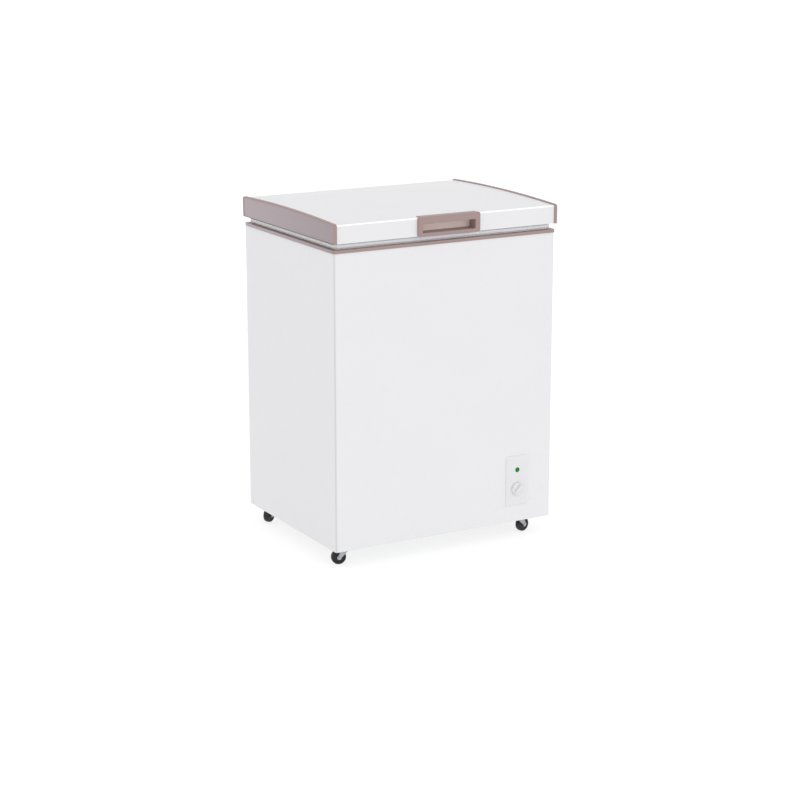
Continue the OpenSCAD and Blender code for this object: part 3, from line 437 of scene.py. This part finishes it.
def finish(slot):
    """The material of a record slot, made the first time that it is asked for."""
    made = bpy.data.materials.get(slot + "_finish")
    if made:
        return made
    coat, trim = bpy.context.scene.freezer_coat, bpy.context.scene.freezer_trim
    paint = Paint(slot + "_finish")
    zinc = tuple(coat.zinc)
    recipes = {
        "white_steel": lambda: powder_coat(paint, coat.coat, coat.gloss, coat.peel),
        "white_liner": lambda: embossed_sheet(paint, coat.liner),
        "zinc_sheet": lambda: zinc_plate(paint, zinc),
        "foam": lambda: poured_foam(paint, srgb(226, 205, 158)),
        "mauve_plastic": lambda: two_tone_moulding_and_painted_light(paint, trim.mauve, tuple(trim.satin)),
        "white_plastic": lambda: moulding(paint, trim.white, 0.34, 1900, 0.000015, 0.97),
        "grey_rubber": lambda: rubber(paint, trim.seal, 0.55),
        "copper": lambda: drawn_tube(paint, srgb(196, 128, 92), srgb(126, 82, 64)),
        "aluminium_tube": lambda: drawn_tube(paint, srgb(196, 198, 202), srgb(160, 163, 168)),
        "black_steel": lambda: powder_coat(paint, srgb(38, 38, 41), 0.4, 0.00008),
        "black_rubber": lambda: rubber(paint, srgb(36, 36, 38), 0.66),
        "black_plastic": lambda: moulding(paint, trim.black, 0.46, 1300, 0.00005, 0.85),
        "grey_plastic": lambda: moulding(paint, srgb(176, 176, 180), 0.45),
        "zinc_fasteners": lambda: pressed_steel(paint, darker(zinc, 0.95), 0.3),
        "hinge_steel": lambda: pressed_steel(paint, zinc, 0.36),
        "green_lens": lambda: lamp_lens(paint, trim.lens),
        "coated_wire": lambda: moulding(paint, srgb(235, 235, 238), 0.28, 900, 0.00002, 0.97),
    }
    return recipes[slot]()


# ---------------------------------------------------------------- shapes


def ring_of(half_u, half_v, radius, steps=6):
    """Rounded rectangle as (u, v) points, anticlockwise from the right-hand side."""
    points = []
    for quarter in range(4):
        mid_u = (half_u - radius) * (1 if quarter in (0, 3) else -1)
        mid_v = (half_v - radius) * (1 if quarter in (0, 1) else -1)
        for step in range(steps + 1):
            turn = math.radians(90 * (quarter + step / steps))
            points.append((mid_u + radius * math.cos(turn), mid_v + radius * math.sin(turn)))
    return points


def bent(path, radius, steps=5, closed=False):
    """A path of straight runs with every corner rounded."""
    points = [Vector(p) for p in path]
    count = len(points)
    out = [] if closed else [points[0]]
    for i in range(count) if closed else range(1, count - 1):
        here, before, after = points[i], points[i - 1], points[(i + 1) % count]
        start = here + (before - here).normalized() * radius
        end = here + (after - here).normalized() * radius
        for step in range(steps + 1):
            s = step / steps
            out.append(start * (1 - s) ** 2 + here * 2 * s * (1 - s) + end * s * s)
    if not closed:
        out.append(points[-1])
    return out


WELD_GAP = 0.00002
BEVEL_ANGLE = 32


class Shape:
    """Vertices and faces of one piece, gathered from rings of points."""

    def __init__(self):
        self.verts, self.faces = [], []

    def loft(self, rings, ends=True, closed=False, gaps=()):
        """Skins a run of equal rings; gaps lists the (row, column) faces to leave out."""
        start, count, rows = len(self.verts), len(rings[0]), len(rings)
        for ring in rings:
            self.verts.extend(Vector(p) for p in ring)
        for row in range(rows if closed else rows - 1):
            low, high = start + row * count, start + (row + 1) % rows * count
            for k in range(count):
                m = (k + 1) % count
                if (row, k) not in gaps:
                    self.faces.append((low + k, low + m, high + m, high + k))
        if ends and not closed:
            self.faces.append(tuple(range(start + count - 1, start - 1, -1)))
            self.faces.append(tuple(range(start + (rows - 1) * count, start + rows * count)))
        return self

    def turned(self, profile, centre, axis, sides=48, closed=False):
        """Lathe work: profile is a run of (radius, distance along the axis)."""
        centre, axis = Vector(centre), Vector(axis).normalized()
        across = axis.orthogonal().normalized()
        along = axis.cross(across)
        turns = [math.tau * k / sides for k in range(sides)]
        rings = [
            [centre + axis * t + (across * math.cos(a) + along * math.sin(a)) * r for a in turns]
            for r, t in profile
        ]
        return self.loft(rings, closed=closed)

    def tube(self, path, radius, sides=10, closed=False):
        """A round wire or tube along a path."""
        points = [Vector(p) for p in path]
        count = len(points)
        side, rings = None, []
        for i, point in enumerate(points):
            after = points[(i + 1) % count] if closed or i < count - 1 else point
            before = points[i - 1] if closed or i else point
            ahead = (after - before).normalized()
            side = ahead.orthogonal() if side is None else side - ahead * side.dot(ahead)
            side.normalize()
            other = ahead.cross(side)
            turns = [math.tau * k / sides for k in range(sides)]
            rings.append(
                [point + (side * math.cos(a) + other * math.sin(a)) * radius for a in turns]
            )
        return self.loft(rings, closed=closed)

    def place(self, name, slot, body, nodes=(), angle=34):
        """Makes the object, with its finish, on its body and in place of its CAD nodes."""
        mesh = bpy.data.meshes.new(name)
        mesh.from_pydata(self.verts, [], self.faces)
        shape = bmesh.new()
        shape.from_mesh(mesh)
        bmesh.ops.recalc_face_normals(shape, faces=shape.faces)
        shape.to_mesh(mesh)
        shape.free()
        for face in mesh.polygons:
            face.use_smooth = True
        mesh.set_sharp_from_angle(angle=math.radians(angle))
        mesh.materials.append(finish(slot))
        piece = bpy.data.objects.new(name, mesh)
        bpy.context.scene.collection.objects.link(piece)
        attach(piece, body)
        if nodes:
            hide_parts(*nodes)
        even_normals(piece)
        return piece


def even_normals(piece):
    """Lets large faces set the shading, so flat sheets stay flat beside their rounded edges."""
    piece.modifiers.new("normals", "WEIGHTED_NORMAL").keep_sharp = True


def soften(node, width):
    """Gives a CAD piece its finish, and rounds its edges with modifiers."""
    piece = frame["nodes"][node]
    piece.data.materials.clear()
    piece.data.materials.append(finish(SLOT_OF[node]))
    for face in piece.data.polygons:
        face.use_smooth = True
    weld = piece.modifiers.new("weld", "WELD")
    weld.merge_threshold = WELD_GAP
    if width:
        bevel = piece.modifiers.new("edge", "BEVEL")
        bevel.width = width
        bevel.segments = 2
        bevel.limit_method = "ANGLE"
        bevel.angle_limit = math.radians(BEVEL_ANGLE)
    even_normals(piece)


# ---------------------------------------------------------------- pieces

GRIP_TURN = 48
ARCH_RADIUS = 5.2
CROWN_Y = 0.025
EDGE_RADIUS = 0.004
CAP_PROUD = 0.0025
ARCH_STEPS = 40
FOLD_STEPS = 8
SKIN_THICKNESS = 0.001


def arched(front, rear, crown, bottom, radius, levels=()):
    """Lid profile in (y, z): up the front, over the arch and down the rear. levels are extra
    heights up the front."""
    def top(y):
        return crown - (y - CROWN_Y) ** 2 / (2 * ARCH_RADIUS)

    points = [(front, bottom)] + [(front, z) for z in levels]
    for centre_y, first in ((front + radius, 180), (rear - radius, 90)):
        centre_z = top(centre_y) - radius
        if first == 90:
            run = rear - front - 2 * radius
            for k in range(1, ARCH_STEPS):
                y = front + radius + run * k / ARCH_STEPS
                points.append((y, top(y)))
        for step in range(FOLD_STEPS + 1):
            turn = math.radians(first - 90 * step / FOLD_STEPS)
            points.append(
                (centre_y + radius * math.cos(turn), centre_z + radius * math.sin(turn))
            )
    return points + [(rear, bottom)]


class FREEZER_OT_cabinet(bpy.types.Operator):
    """Shell, back, base, liner and rim collar"""

    bl_idname = "freezer.cabinet"
    bl_label = "Cabinet"

    def execute(self, context):
        for node in ("outer_shell", "back_panel", "base_plate", "compartment_panel"):
            soften(node, 0.0003)
        for node in frame["nodes"]:
            if SLOT_OF[node] == "foam":
                soften(node, 0)
        soften("inner_liner", 0.0008)
        soften("rim_collar", 0.0007)
        soften("drain_tube", 0.0004)
        soften("drain_plug", 0.0008)
        return {"FINISHED"}


class FREEZER_OT_lid(bpy.types.Operator):
    """Arched skin and inner panel"""

    bl_idname = "freezer.lid"
    bl_label = "Lid"

    def execute(self, context):
        low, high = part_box("lid_skin")
        slot_low, slot_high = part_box("lid_handle")
        pocket_half = (slot_high.x - slot_low.x) / 2 - 0.0105
        levels = (low.z + 0.0053, low.z + 0.0327)
        profile = arched(low.y, high.y, high.z, low.z, EDGE_RADIUS, levels)
        rows = [low.x, low.x + 0.05, -pocket_half, pocket_half, high.x - 0.05, high.x]
        rings = [[(x, y, z) for y, z in profile] for x in rows]
        under = {(row, len(profile) - 1) for row in range(len(rows) - 1)}
        pocket = {(2, 1)}
        skin = Shape().loft(rings, ends=False, gaps=under | pocket)
        piece = skin.place("lid_top_skin", "white_steel", "lid", ["lid_skin"])
        piece.modifiers.clear()
        sheet = piece.modifiers.new("sheet", "SOLIDIFY")
        sheet.thickness = SKIN_THICKNESS
        sheet.offset = -1
        even_normals(piece)
        soften("lid_inner_panel", 0.001)
        return {"FINISHED"}


class FREEZER_OT_caps(bpy.types.Operator):
    """End caps of the lid, each with a raised rim round a recessed face"""

    bl_idname = "freezer.caps"
    bl_label = "Lid caps"

    def execute(self, context):
        edge = context.scene.freezer_trim.edge
        thickness, rim, recess = 0.008, 0.004, 0.0012
        steps = (
            (thickness, edge), (thickness - edge, 0), (edge * 1.3, 0), (edge * 0.4, edge * 0.4),
            (0, edge * 1.3), (0, rim - edge), (edge * 0.35, rim - edge * 0.3), (recess, rim),
            (recess, rim + 0.001),
        )
        for name, node, side in (
            ("end_cap_left", "lid_cap_left", -1), ("end_cap_right", "lid_cap_right", 1)
        ):
            low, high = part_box(node)
            outer = low.x if side < 0 else high.x
            rings = [
                [
                    (outer - side * back, y, z)
                    for y, z in arched(
                        low.y + inset, high.y - inset, high.z - inset,
                        low.z, max(EDGE_RADIUS + CAP_PROUD - inset, 0.002),
                    )
                ]
                for back, inset in steps
            ]
            Shape().loft(rings).place(name, "mauve_plastic", "lid", [node])
        return {"FINISHED"}


class FREEZER_OT_gasket(bpy.types.Operator):
    """Seal strip with a flange and a bead that has a groove round it"""

    bl_idname = "freezer.gasket"
    bl_label = "Lid gasket"

    def execute(self, context):
        low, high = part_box("lid_gasket")
        half_x, half_y = (high.x - low.x) / 2, (high.y - low.y) / 2
        mid = (low + high) / 2
        tall = high.z - low.z
        # (inset in mm, share of the height)
        outline = (
            (5.0, 1.0), (5.0, 0.80), (1.2, 0.77), (0.3, 0.71), (0.0, 0.62), (0.0, 0.545),
            (0.7, 0.52), (0.7, 0.48), (0.0, 0.455), (0.0, 0.38), (0.3, 0.29), (1.2, 0.23),
            (5.0, 0.20), (5.0, 0.0), (19.9, 0.0), (19.9, 1.0),
        )
        rings = []
        for inset, up in outline:
            corner = max(0.013 - inset * MM, 0.006)
            loop = ring_of(half_x - inset * MM, half_y - inset * MM, corner)
            rings.append([(mid.x + u, mid.y + v, low.z + tall * up) for u, v in loop])
        strip = Shape().loft(rings, closed=True)
        strip.place("seal_strip", "grey_rubber", "lid", ["lid_gasket"], 50)
        return {"FINISHED"}


class FREEZER_OT_handle(bpy.types.Operator):
    """Recessed handle: a frame on the lid's front, a finger slot and a flange over the top"""

    bl_idname = "freezer.handle"
    bl_label = "Handle"

    def execute(self, context):
        edge = context.scene.freezer_trim.edge
        low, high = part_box("lid_handle")
        skin_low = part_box("lid_skin")[0]
        face, root = low.y, skin_low.y
        half = (high.x - low.x) / 2
        slot_low, slot_high = skin_low.z + 0.008, skin_low.z + 0.030
        slot_half = half - 0.013
        frame_z, tall = (low.z + high.z) / 2, (high.z - low.z) / 2
        slot_z, slot_tall = (slot_low + slot_high) / 2, (slot_high - slot_low) / 2
        back = face + 0.028
        wall = 0.0025

        def outer(inset, y):
            loop = ring_of(half - inset, tall - inset, max(0.005 - inset, 0.001))
            return [(u, y, frame_z + v) for u, v in loop]

        def inner(grow, y):
            loop = ring_of(slot_half + grow, slot_tall + grow, max(0.0022 + grow, 0.0005))
            return [(u, y, slot_z + v) for u, v in loop]

        rings = [
            inner(wall, back + wall), inner(wall, root + 0.0004),
            outer(0, root + 0.0003), outer(0, face + 1.6 * edge),
            outer(0.5 * edge, face + 0.5 * edge), outer(1.6 * edge, face),
            outer(0.0038, face), outer(0.0042, face + 0.0004),
            inner(0.0018, face + 0.0004), inner(0.0006, face + 0.0009), inner(0, face + 0.0024),
            inner(-0.0004, back - 0.002), inner(-0.0012, back - 0.0004), inner(-0.003, back),
            inner(-0.0045, back),
        ]
        shape = Shape().loft(rings)
        flange = root + 0.015
        width = half - 0.005
        top = high.z

        def strip(y, inset, under, below):
            """A section of the flange; under and below are measured down from the frame's top."""
            low_z, high_z = top - under, top - below
            corners = (
                (-1, low_z), (1, low_z), (1, high_z - 0.0004), (0.985, high_z), (-0.985, high_z),
                (-1, high_z - 0.0004),
            )
            return [(u * (width - inset), y, z) for u, z in corners]

        shape.loft([
            strip(face + 0.002, 0, 0.006, 0.0012), strip(root - 0.001, 0, 0.008, 0.0006),
            strip(root + 0.0004, 0, 0.009, 0.00005), strip(root + 0.004, 0, 0.009, 0.00005),
            strip(flange - 0.0012, 0, 0.0030, 0.00005),
            strip(flange - 0.0003, 0.0004, 0.0030, 0.0004), strip(flange, 0.0008, 0.0030, 0.001),
        ])
        shape.place("lid_grip", "mauve_plastic", "lid", ["lid_handle"])
        return {"FINISHED"}


class FREEZER_OT_panel(bpy.types.Operator):
    """Control panel: bezel, knob with a grip bar, running lamp, and the parts behind"""

    bl_idname = "freezer.panel"
    bl_label = "Control panel"

    def execute(self, context):
        low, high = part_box("control_bezel")
        mid = (low + high) / 2
        half_u, half_v = (high.x - low.x) / 2, (high.z - low.z) / 2
        shell_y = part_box("outer_shell")[0].y
        steps = (
            (-0.0002, 0.0), (0.0007, 0.0), (0.0012, 0.0003), (0.0016, 0.0008), (0.0027, 0.0044),
            (0.00295, 0.0052), (0.003, 0.0060), (0.003, 0.0080),
        )
        rings = []
        for out, inset in steps:
            loop = ring_of(half_u - inset, half_v - inset, max(0.006 - inset * 0.7, 0.002), 8)
            rings.append([(mid.x + u, shell_y - out, mid.z + v) for u, v in loop])
        Shape().loft(rings).place("panel_bezel", "white_plastic", "cabinet", ["control_bezel"])

        knob_low, knob_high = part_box("thermostat_knob")
        knob = (knob_low + knob_high) / 2
        radius = (knob_high.z - knob_low.z) / 2
        start = knob_high.y
        reach = knob_high.y - knob_low.y
        dial = Shape().turned(
            ((radius - 0.0003, 0), (radius, 0.0005), (radius, 0.0026), (radius - 0.0004, 0.0034),
             (radius - 0.0013, 0.0039), (radius - 0.003, 0.004), (radius - 0.0034, 0.0037),
             (0.004, 0.0037)),
            (knob.x, start, knob.z), (0, -1, 0), 64,
        )
        turn = math.radians(GRIP_TURN)
        bar = (
            (0.0034, 0, 0), (reach - 0.0016, 0.0002, 0.0002), (reach - 0.0005, 0.0006, 0.0006),
            (reach, 0.0016, 0.0014),
        )
        rings = []
        for out, inset_u, inset_v in bar:
            loop = ring_of(radius - 0.002 - inset_u, 0.0035 - inset_v, 0.003 - inset_v)
            rings.append([
                (knob.x + u * math.cos(turn) - v * math.sin(turn), start - out,
                 knob.z + u * math.sin(turn) + v * math.cos(turn))
                for u, v in loop
            ])
        dial.loft(rings)
        dial.place("thermostat_dial", "white_plastic", "knob", ["thermostat_knob"])
        soften("thermostat_spindle", 0.0002)

        lamp_low, lamp_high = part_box("lamp_lens")
        lamp = (lamp_low + lamp_high) / 2
        radius = (lamp_high.z - lamp_low.z) / 2
        bulge = ((radius - 0.0001, 0), (radius - 0.0001, 0.0064), (radius - 0.0004, 0.0069),
                 (radius * 0.78, 0.00735), (radius * 0.5, 0.00747), (radius * 0.15, 0.0075))
        Shape().turned(bulge, (lamp.x, lamp_high.y, lamp.z), (0, -1, 0), 40).place(
            "running_lamp", "green_lens", "cabinet", ["lamp_lens"], 60
        )
        for node in ("thermostat_body", "lamp_holder"):
            soften(node, 0.0006)
        soften("thermostat_sensor", 0)
        return {"FINISHED"}


class FREEZER_OT_hinges(bpy.types.Operator):
    """Hinge leaves, pins, coiled springs and screws"""

    bl_idname = "freezer.hinges"
    bl_label = "Hinges"

    def execute(self, context):
        for node in (
            "hinge_cabinet_leaves", "hinge_lid_leaves", "hinge_pins", "lid_screws", "back_screws"
        ):
            soften(node, 0.0003)
        springs_low, springs_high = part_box("hinge_springs")
        pivot = next(j for j in frame["joints"] if j["name"] == "lid_hinge")["pos_m"]
        pivot_y, pivot_z = pivot[1:]
        turns, steps = 3, 24
        wire, coil, half, leg = 0.0007, 0.0036, 0.0043, 0.004
        shape = Shape()
        for x in (springs_low.x + half, springs_high.x - half):
            span = 2 * (half - wire)
            path = [(x - span / 2, pivot_y + coil, pivot_z - leg)]
            for i in range(turns * steps + 1):
                a = math.tau * i / steps
                path.append((
                    x + span * (i / (turns * steps) - 0.5),
                    pivot_y + coil * math.cos(a), pivot_z + coil * math.sin(a),
                ))
            path.append((x + span / 2, pivot_y + coil, pivot_z + leg))
            shape.tube(path, wire, 8)
        shape.place("lid_springs", "zinc_fasteners", "cabinet", ["hinge_springs"], 50)
        return {"FINISHED"}


class FREEZER_OT_basket(bpy.types.Operator):
    """Wire basket: a rim, two hoops, and wires bent down the sides and under the floor"""

    bl_idname = "freezer.basket"
    bl_label = "Basket"

    def execute(self, context):
        low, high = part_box("wire_basket")
        mid = (low + high) / 2
        rim, thin = 0.002, 0.0014
        top = high.z - rim
        floor = low.z + thin
        half_x = (high.x - low.x) / 2 - rim
        rim_y = (high.y - low.y) / 2 - rim
        body_y = rim_y - 0.0155
        shape = Shape()

        def hoop(half_u, half_v, z, corner, radius, sides=10):
            loop = ring_of(half_u, half_v, corner)
            shape.tube([(mid.x + u, mid.y + v, z) for u, v in loop], radius, sides, True)

        hoop(half_x, rim_y, top, 0.010, rim, 12)
        for z in (floor + 0.010, (floor + top) / 2):
            hoop(half_x, body_y, z, 0.008, thin)
        across, along, corner = 6, 9, 0.006
        inside_x, inside_y = half_x - 2 * thin, body_y - 2 * thin
        for i in range(across):
            x = mid.x - inside_x + 2 * inside_x * i / (across - 1)
            shape.tube(bent([
                (x, -rim_y, top), (x, -inside_y, top), (x, -inside_y, floor),
                (x, inside_y, floor), (x, inside_y, top), (x, rim_y, top),
            ], corner), thin)
        for i in range(1, along):
            y = -body_y + 2 * body_y * i / along
            left, right, z = mid.x - inside_x, mid.x + inside_x, floor + 2 * thin
            shape.tube(
                bent([(left, y, top), (left, y, z), (right, y, z), (right, y, top)], corner), thin
            )
        shape.place("basket_wires", "coated_wire", "basket", ["wire_basket"], 60)
        return {"FINISHED"}


class FREEZER_OT_casters(bpy.types.Operator):
    """Swivel casters: plates, kingpins, forks, axles and turned wheels"""

    bl_idname = "freezer.casters"
    bl_label = "Casters"

    def execute(self, context):
        joints = {joint["name"]: joint for joint in frame["joints"]}
        for node in ("caster_plates", "caster_kingpins", "caster_screws"):
            soften(node, 0.0003)
        # (radius, distance from the wheel's middle), in mm
        half = (
            (2.7, 8.0), (5.4, 8.0), (6.1, 7.5), (6.6, 6.3), (12.2, 6.0), (12.9, 6.6), (13.4, 7.7),
            (14.6, 8.0), (16.4, 7.3), (17.7, 5.9), (18.3, 4.0), (18.5, 1.6),
        )
        outline = [(r * MM, -t * MM) for r, t in half]
        outline += [(r * MM, t * MM) for r, t in reversed(half)]
        for tag in CASTERS:
            soften("caster_fork_" + tag, 0.0004)
            soften("caster_axle_" + tag, 0.0002)
            joint = joints["wheel_spin_" + tag]
            wheel = Shape().turned(outline, joint["pos_m"], joint["axis"], 56, True)
            wheel.place(
                "tread_wheel_" + tag, "black_plastic", "wheel_" + tag, ["caster_wheel_" + tag]
            )
        return {"FINISHED"}


class FREEZER_OT_compartment(bpy.types.Operator):
    """Compressor, tubes, relay, wiring and grille"""

    bl_idname = "freezer.compartment"
    bl_label = "Machine compartment"

    def execute(self, context):
        soften("compressor", 0.0015)
        soften("compressor_base", 0.0004)
        for node in ("compressor_grommets", "compressor_bolts", "start_relay", "cord_gland"):
            soften(node, 0.0005)
        for node in (
            "rear_grille", "condenser_tube", "evaporator_tube", "filter_drier", "capillary_tube",
            "suction_line", "discharge_line", "wiring_harness",
        ):
            soften(node, 0)
        return {"FINISHED"}


class FREEZER_OT_stage(bpy.types.Operator):
    """Floor, even sky, one soft key light and camera"""

    bl_idname = "freezer.stage"
    bl_label = "Stage"

    def execute(self, context):
        scene = context.scene
        look = scene.freezer_stage
        ground = bpy.data.meshes.new("floor")
        corners = ((-1, -1), (1, -1), (1, 1), (-1, 1))
        ground.from_pydata(
            [(x * FLOOR_REACH, y * FLOOR_REACH, 0) for x, y in corners], [], [(0, 1, 2, 3)]
        )
        floor = bpy.data.objects.new("studio_floor", ground)
        scene.collection.objects.link(floor)
        paint = Paint("floor_paint")
        tone = paint.noise(0.7, 3)
        ground.materials.append(
            paint.done(
                Base_Color=paint.mix(tone, darker(look.floor, 0.24), darker(look.floor, 0.25)),
                Roughness=0.9, Specular_IOR_Level=0.1,
                Normal=paint.bump(paint.noise(40, 2), 0.0002),
                Emission_Color=look.floor, Emission_Strength=look.glow,
            )
        )

        world = bpy.data.worlds.new("studio_sky")
        world.use_nodes = True
        sky = world.node_tree.nodes["Background"]
        sky.inputs["Color"].default_value = (1, 1, 1, 1)
        sky.inputs["Strength"].default_value = look.sky
        scene.world = world

        light = bpy.data.lights.new("key_light", "SUN")
        light.angle = math.radians(KEY_SPREAD)
        light.energy = look.key
        lamp = bpy.data.objects.new("key_light", light)
        lamp.rotation_euler = (-Vector(KEY_FROM)).to_track_quat("-Z", "Y").to_euler()
        scene.collection.objects.link(lamp)

        eye = bpy.data.cameras.new("camera")
        eye.lens = look.lens
        eye.sensor_width = SENSOR_WIDTH
        camera = bpy.data.objects.new("camera", eye)
        camera.location = EYE
        yaw, pitch = math.radians(EYE_YAW), math.radians(EYE_PITCH)
        level = math.cos(pitch)
        ahead = Vector((math.sin(yaw) * level, math.cos(yaw) * level, -math.sin(pitch)))
        camera.rotation_euler = ahead.to_track_quat("-Z", "Y").to_euler()
        scene.collection.objects.link(camera)
        scene.camera = camera
        scene.view_settings.view_transform = "Standard"
        return {"FINISHED"}


# ---------------------------------------------------------------- add-on


OPERATORS = (
    FREEZER_OT_cabinet, FREEZER_OT_lid, FREEZER_OT_caps, FREEZER_OT_gasket, FREEZER_OT_handle,
    FREEZER_OT_panel, FREEZER_OT_hinges, FREEZER_OT_basket, FREEZER_OT_casters,
    FREEZER_OT_compartment, FREEZER_OT_stage,
)
GROUPS = (
    ("freezer_coat", FreezerCoat),
    ("freezer_trim", FreezerTrim),
    ("freezer_stage", FreezerStage),
)


class FREEZER_PT_looks(bpy.types.Panel):
    """Lists the settings and the steps that build the looks"""

    bl_idname = "FREEZER_PT_looks"
    bl_label = "Freezer looks"
    bl_space_type = "VIEW_3D"
    bl_region_type = "UI"
    bl_category = "Freezer"

    def draw(self, context):
        for attribute, group in GROUPS:
            box = self.layout.box()
            for name in group.__annotations__:
                box.prop(getattr(context.scene, attribute), name)
        for operator in OPERATORS:
            self.layout.operator(operator.bl_idname)


def register():
    for attribute, group in GROUPS:
        bpy.utils.register_class(group)
        setattr(bpy.types.Scene, attribute, bpy.props.PointerProperty(type=group))
    for operator in OPERATORS:
        bpy.utils.register_class(operator)
    bpy.utils.register_class(FREEZER_PT_looks)


def unregister():
    bpy.utils.unregister_class(FREEZER_PT_looks)
    for operator in reversed(OPERATORS):
        bpy.utils.unregister_class(operator)
    for attribute, group in reversed(GROUPS):
        delattr(bpy.types.Scene, attribute)
        bpy.utils.unregister_class(group)


def main():
    register()
    for operator in OPERATORS:
        space, name = operator.bl_idname.split(".")
        getattr(getattr(bpy.ops, space), name)()


if __name__ == "__main__":
    main()
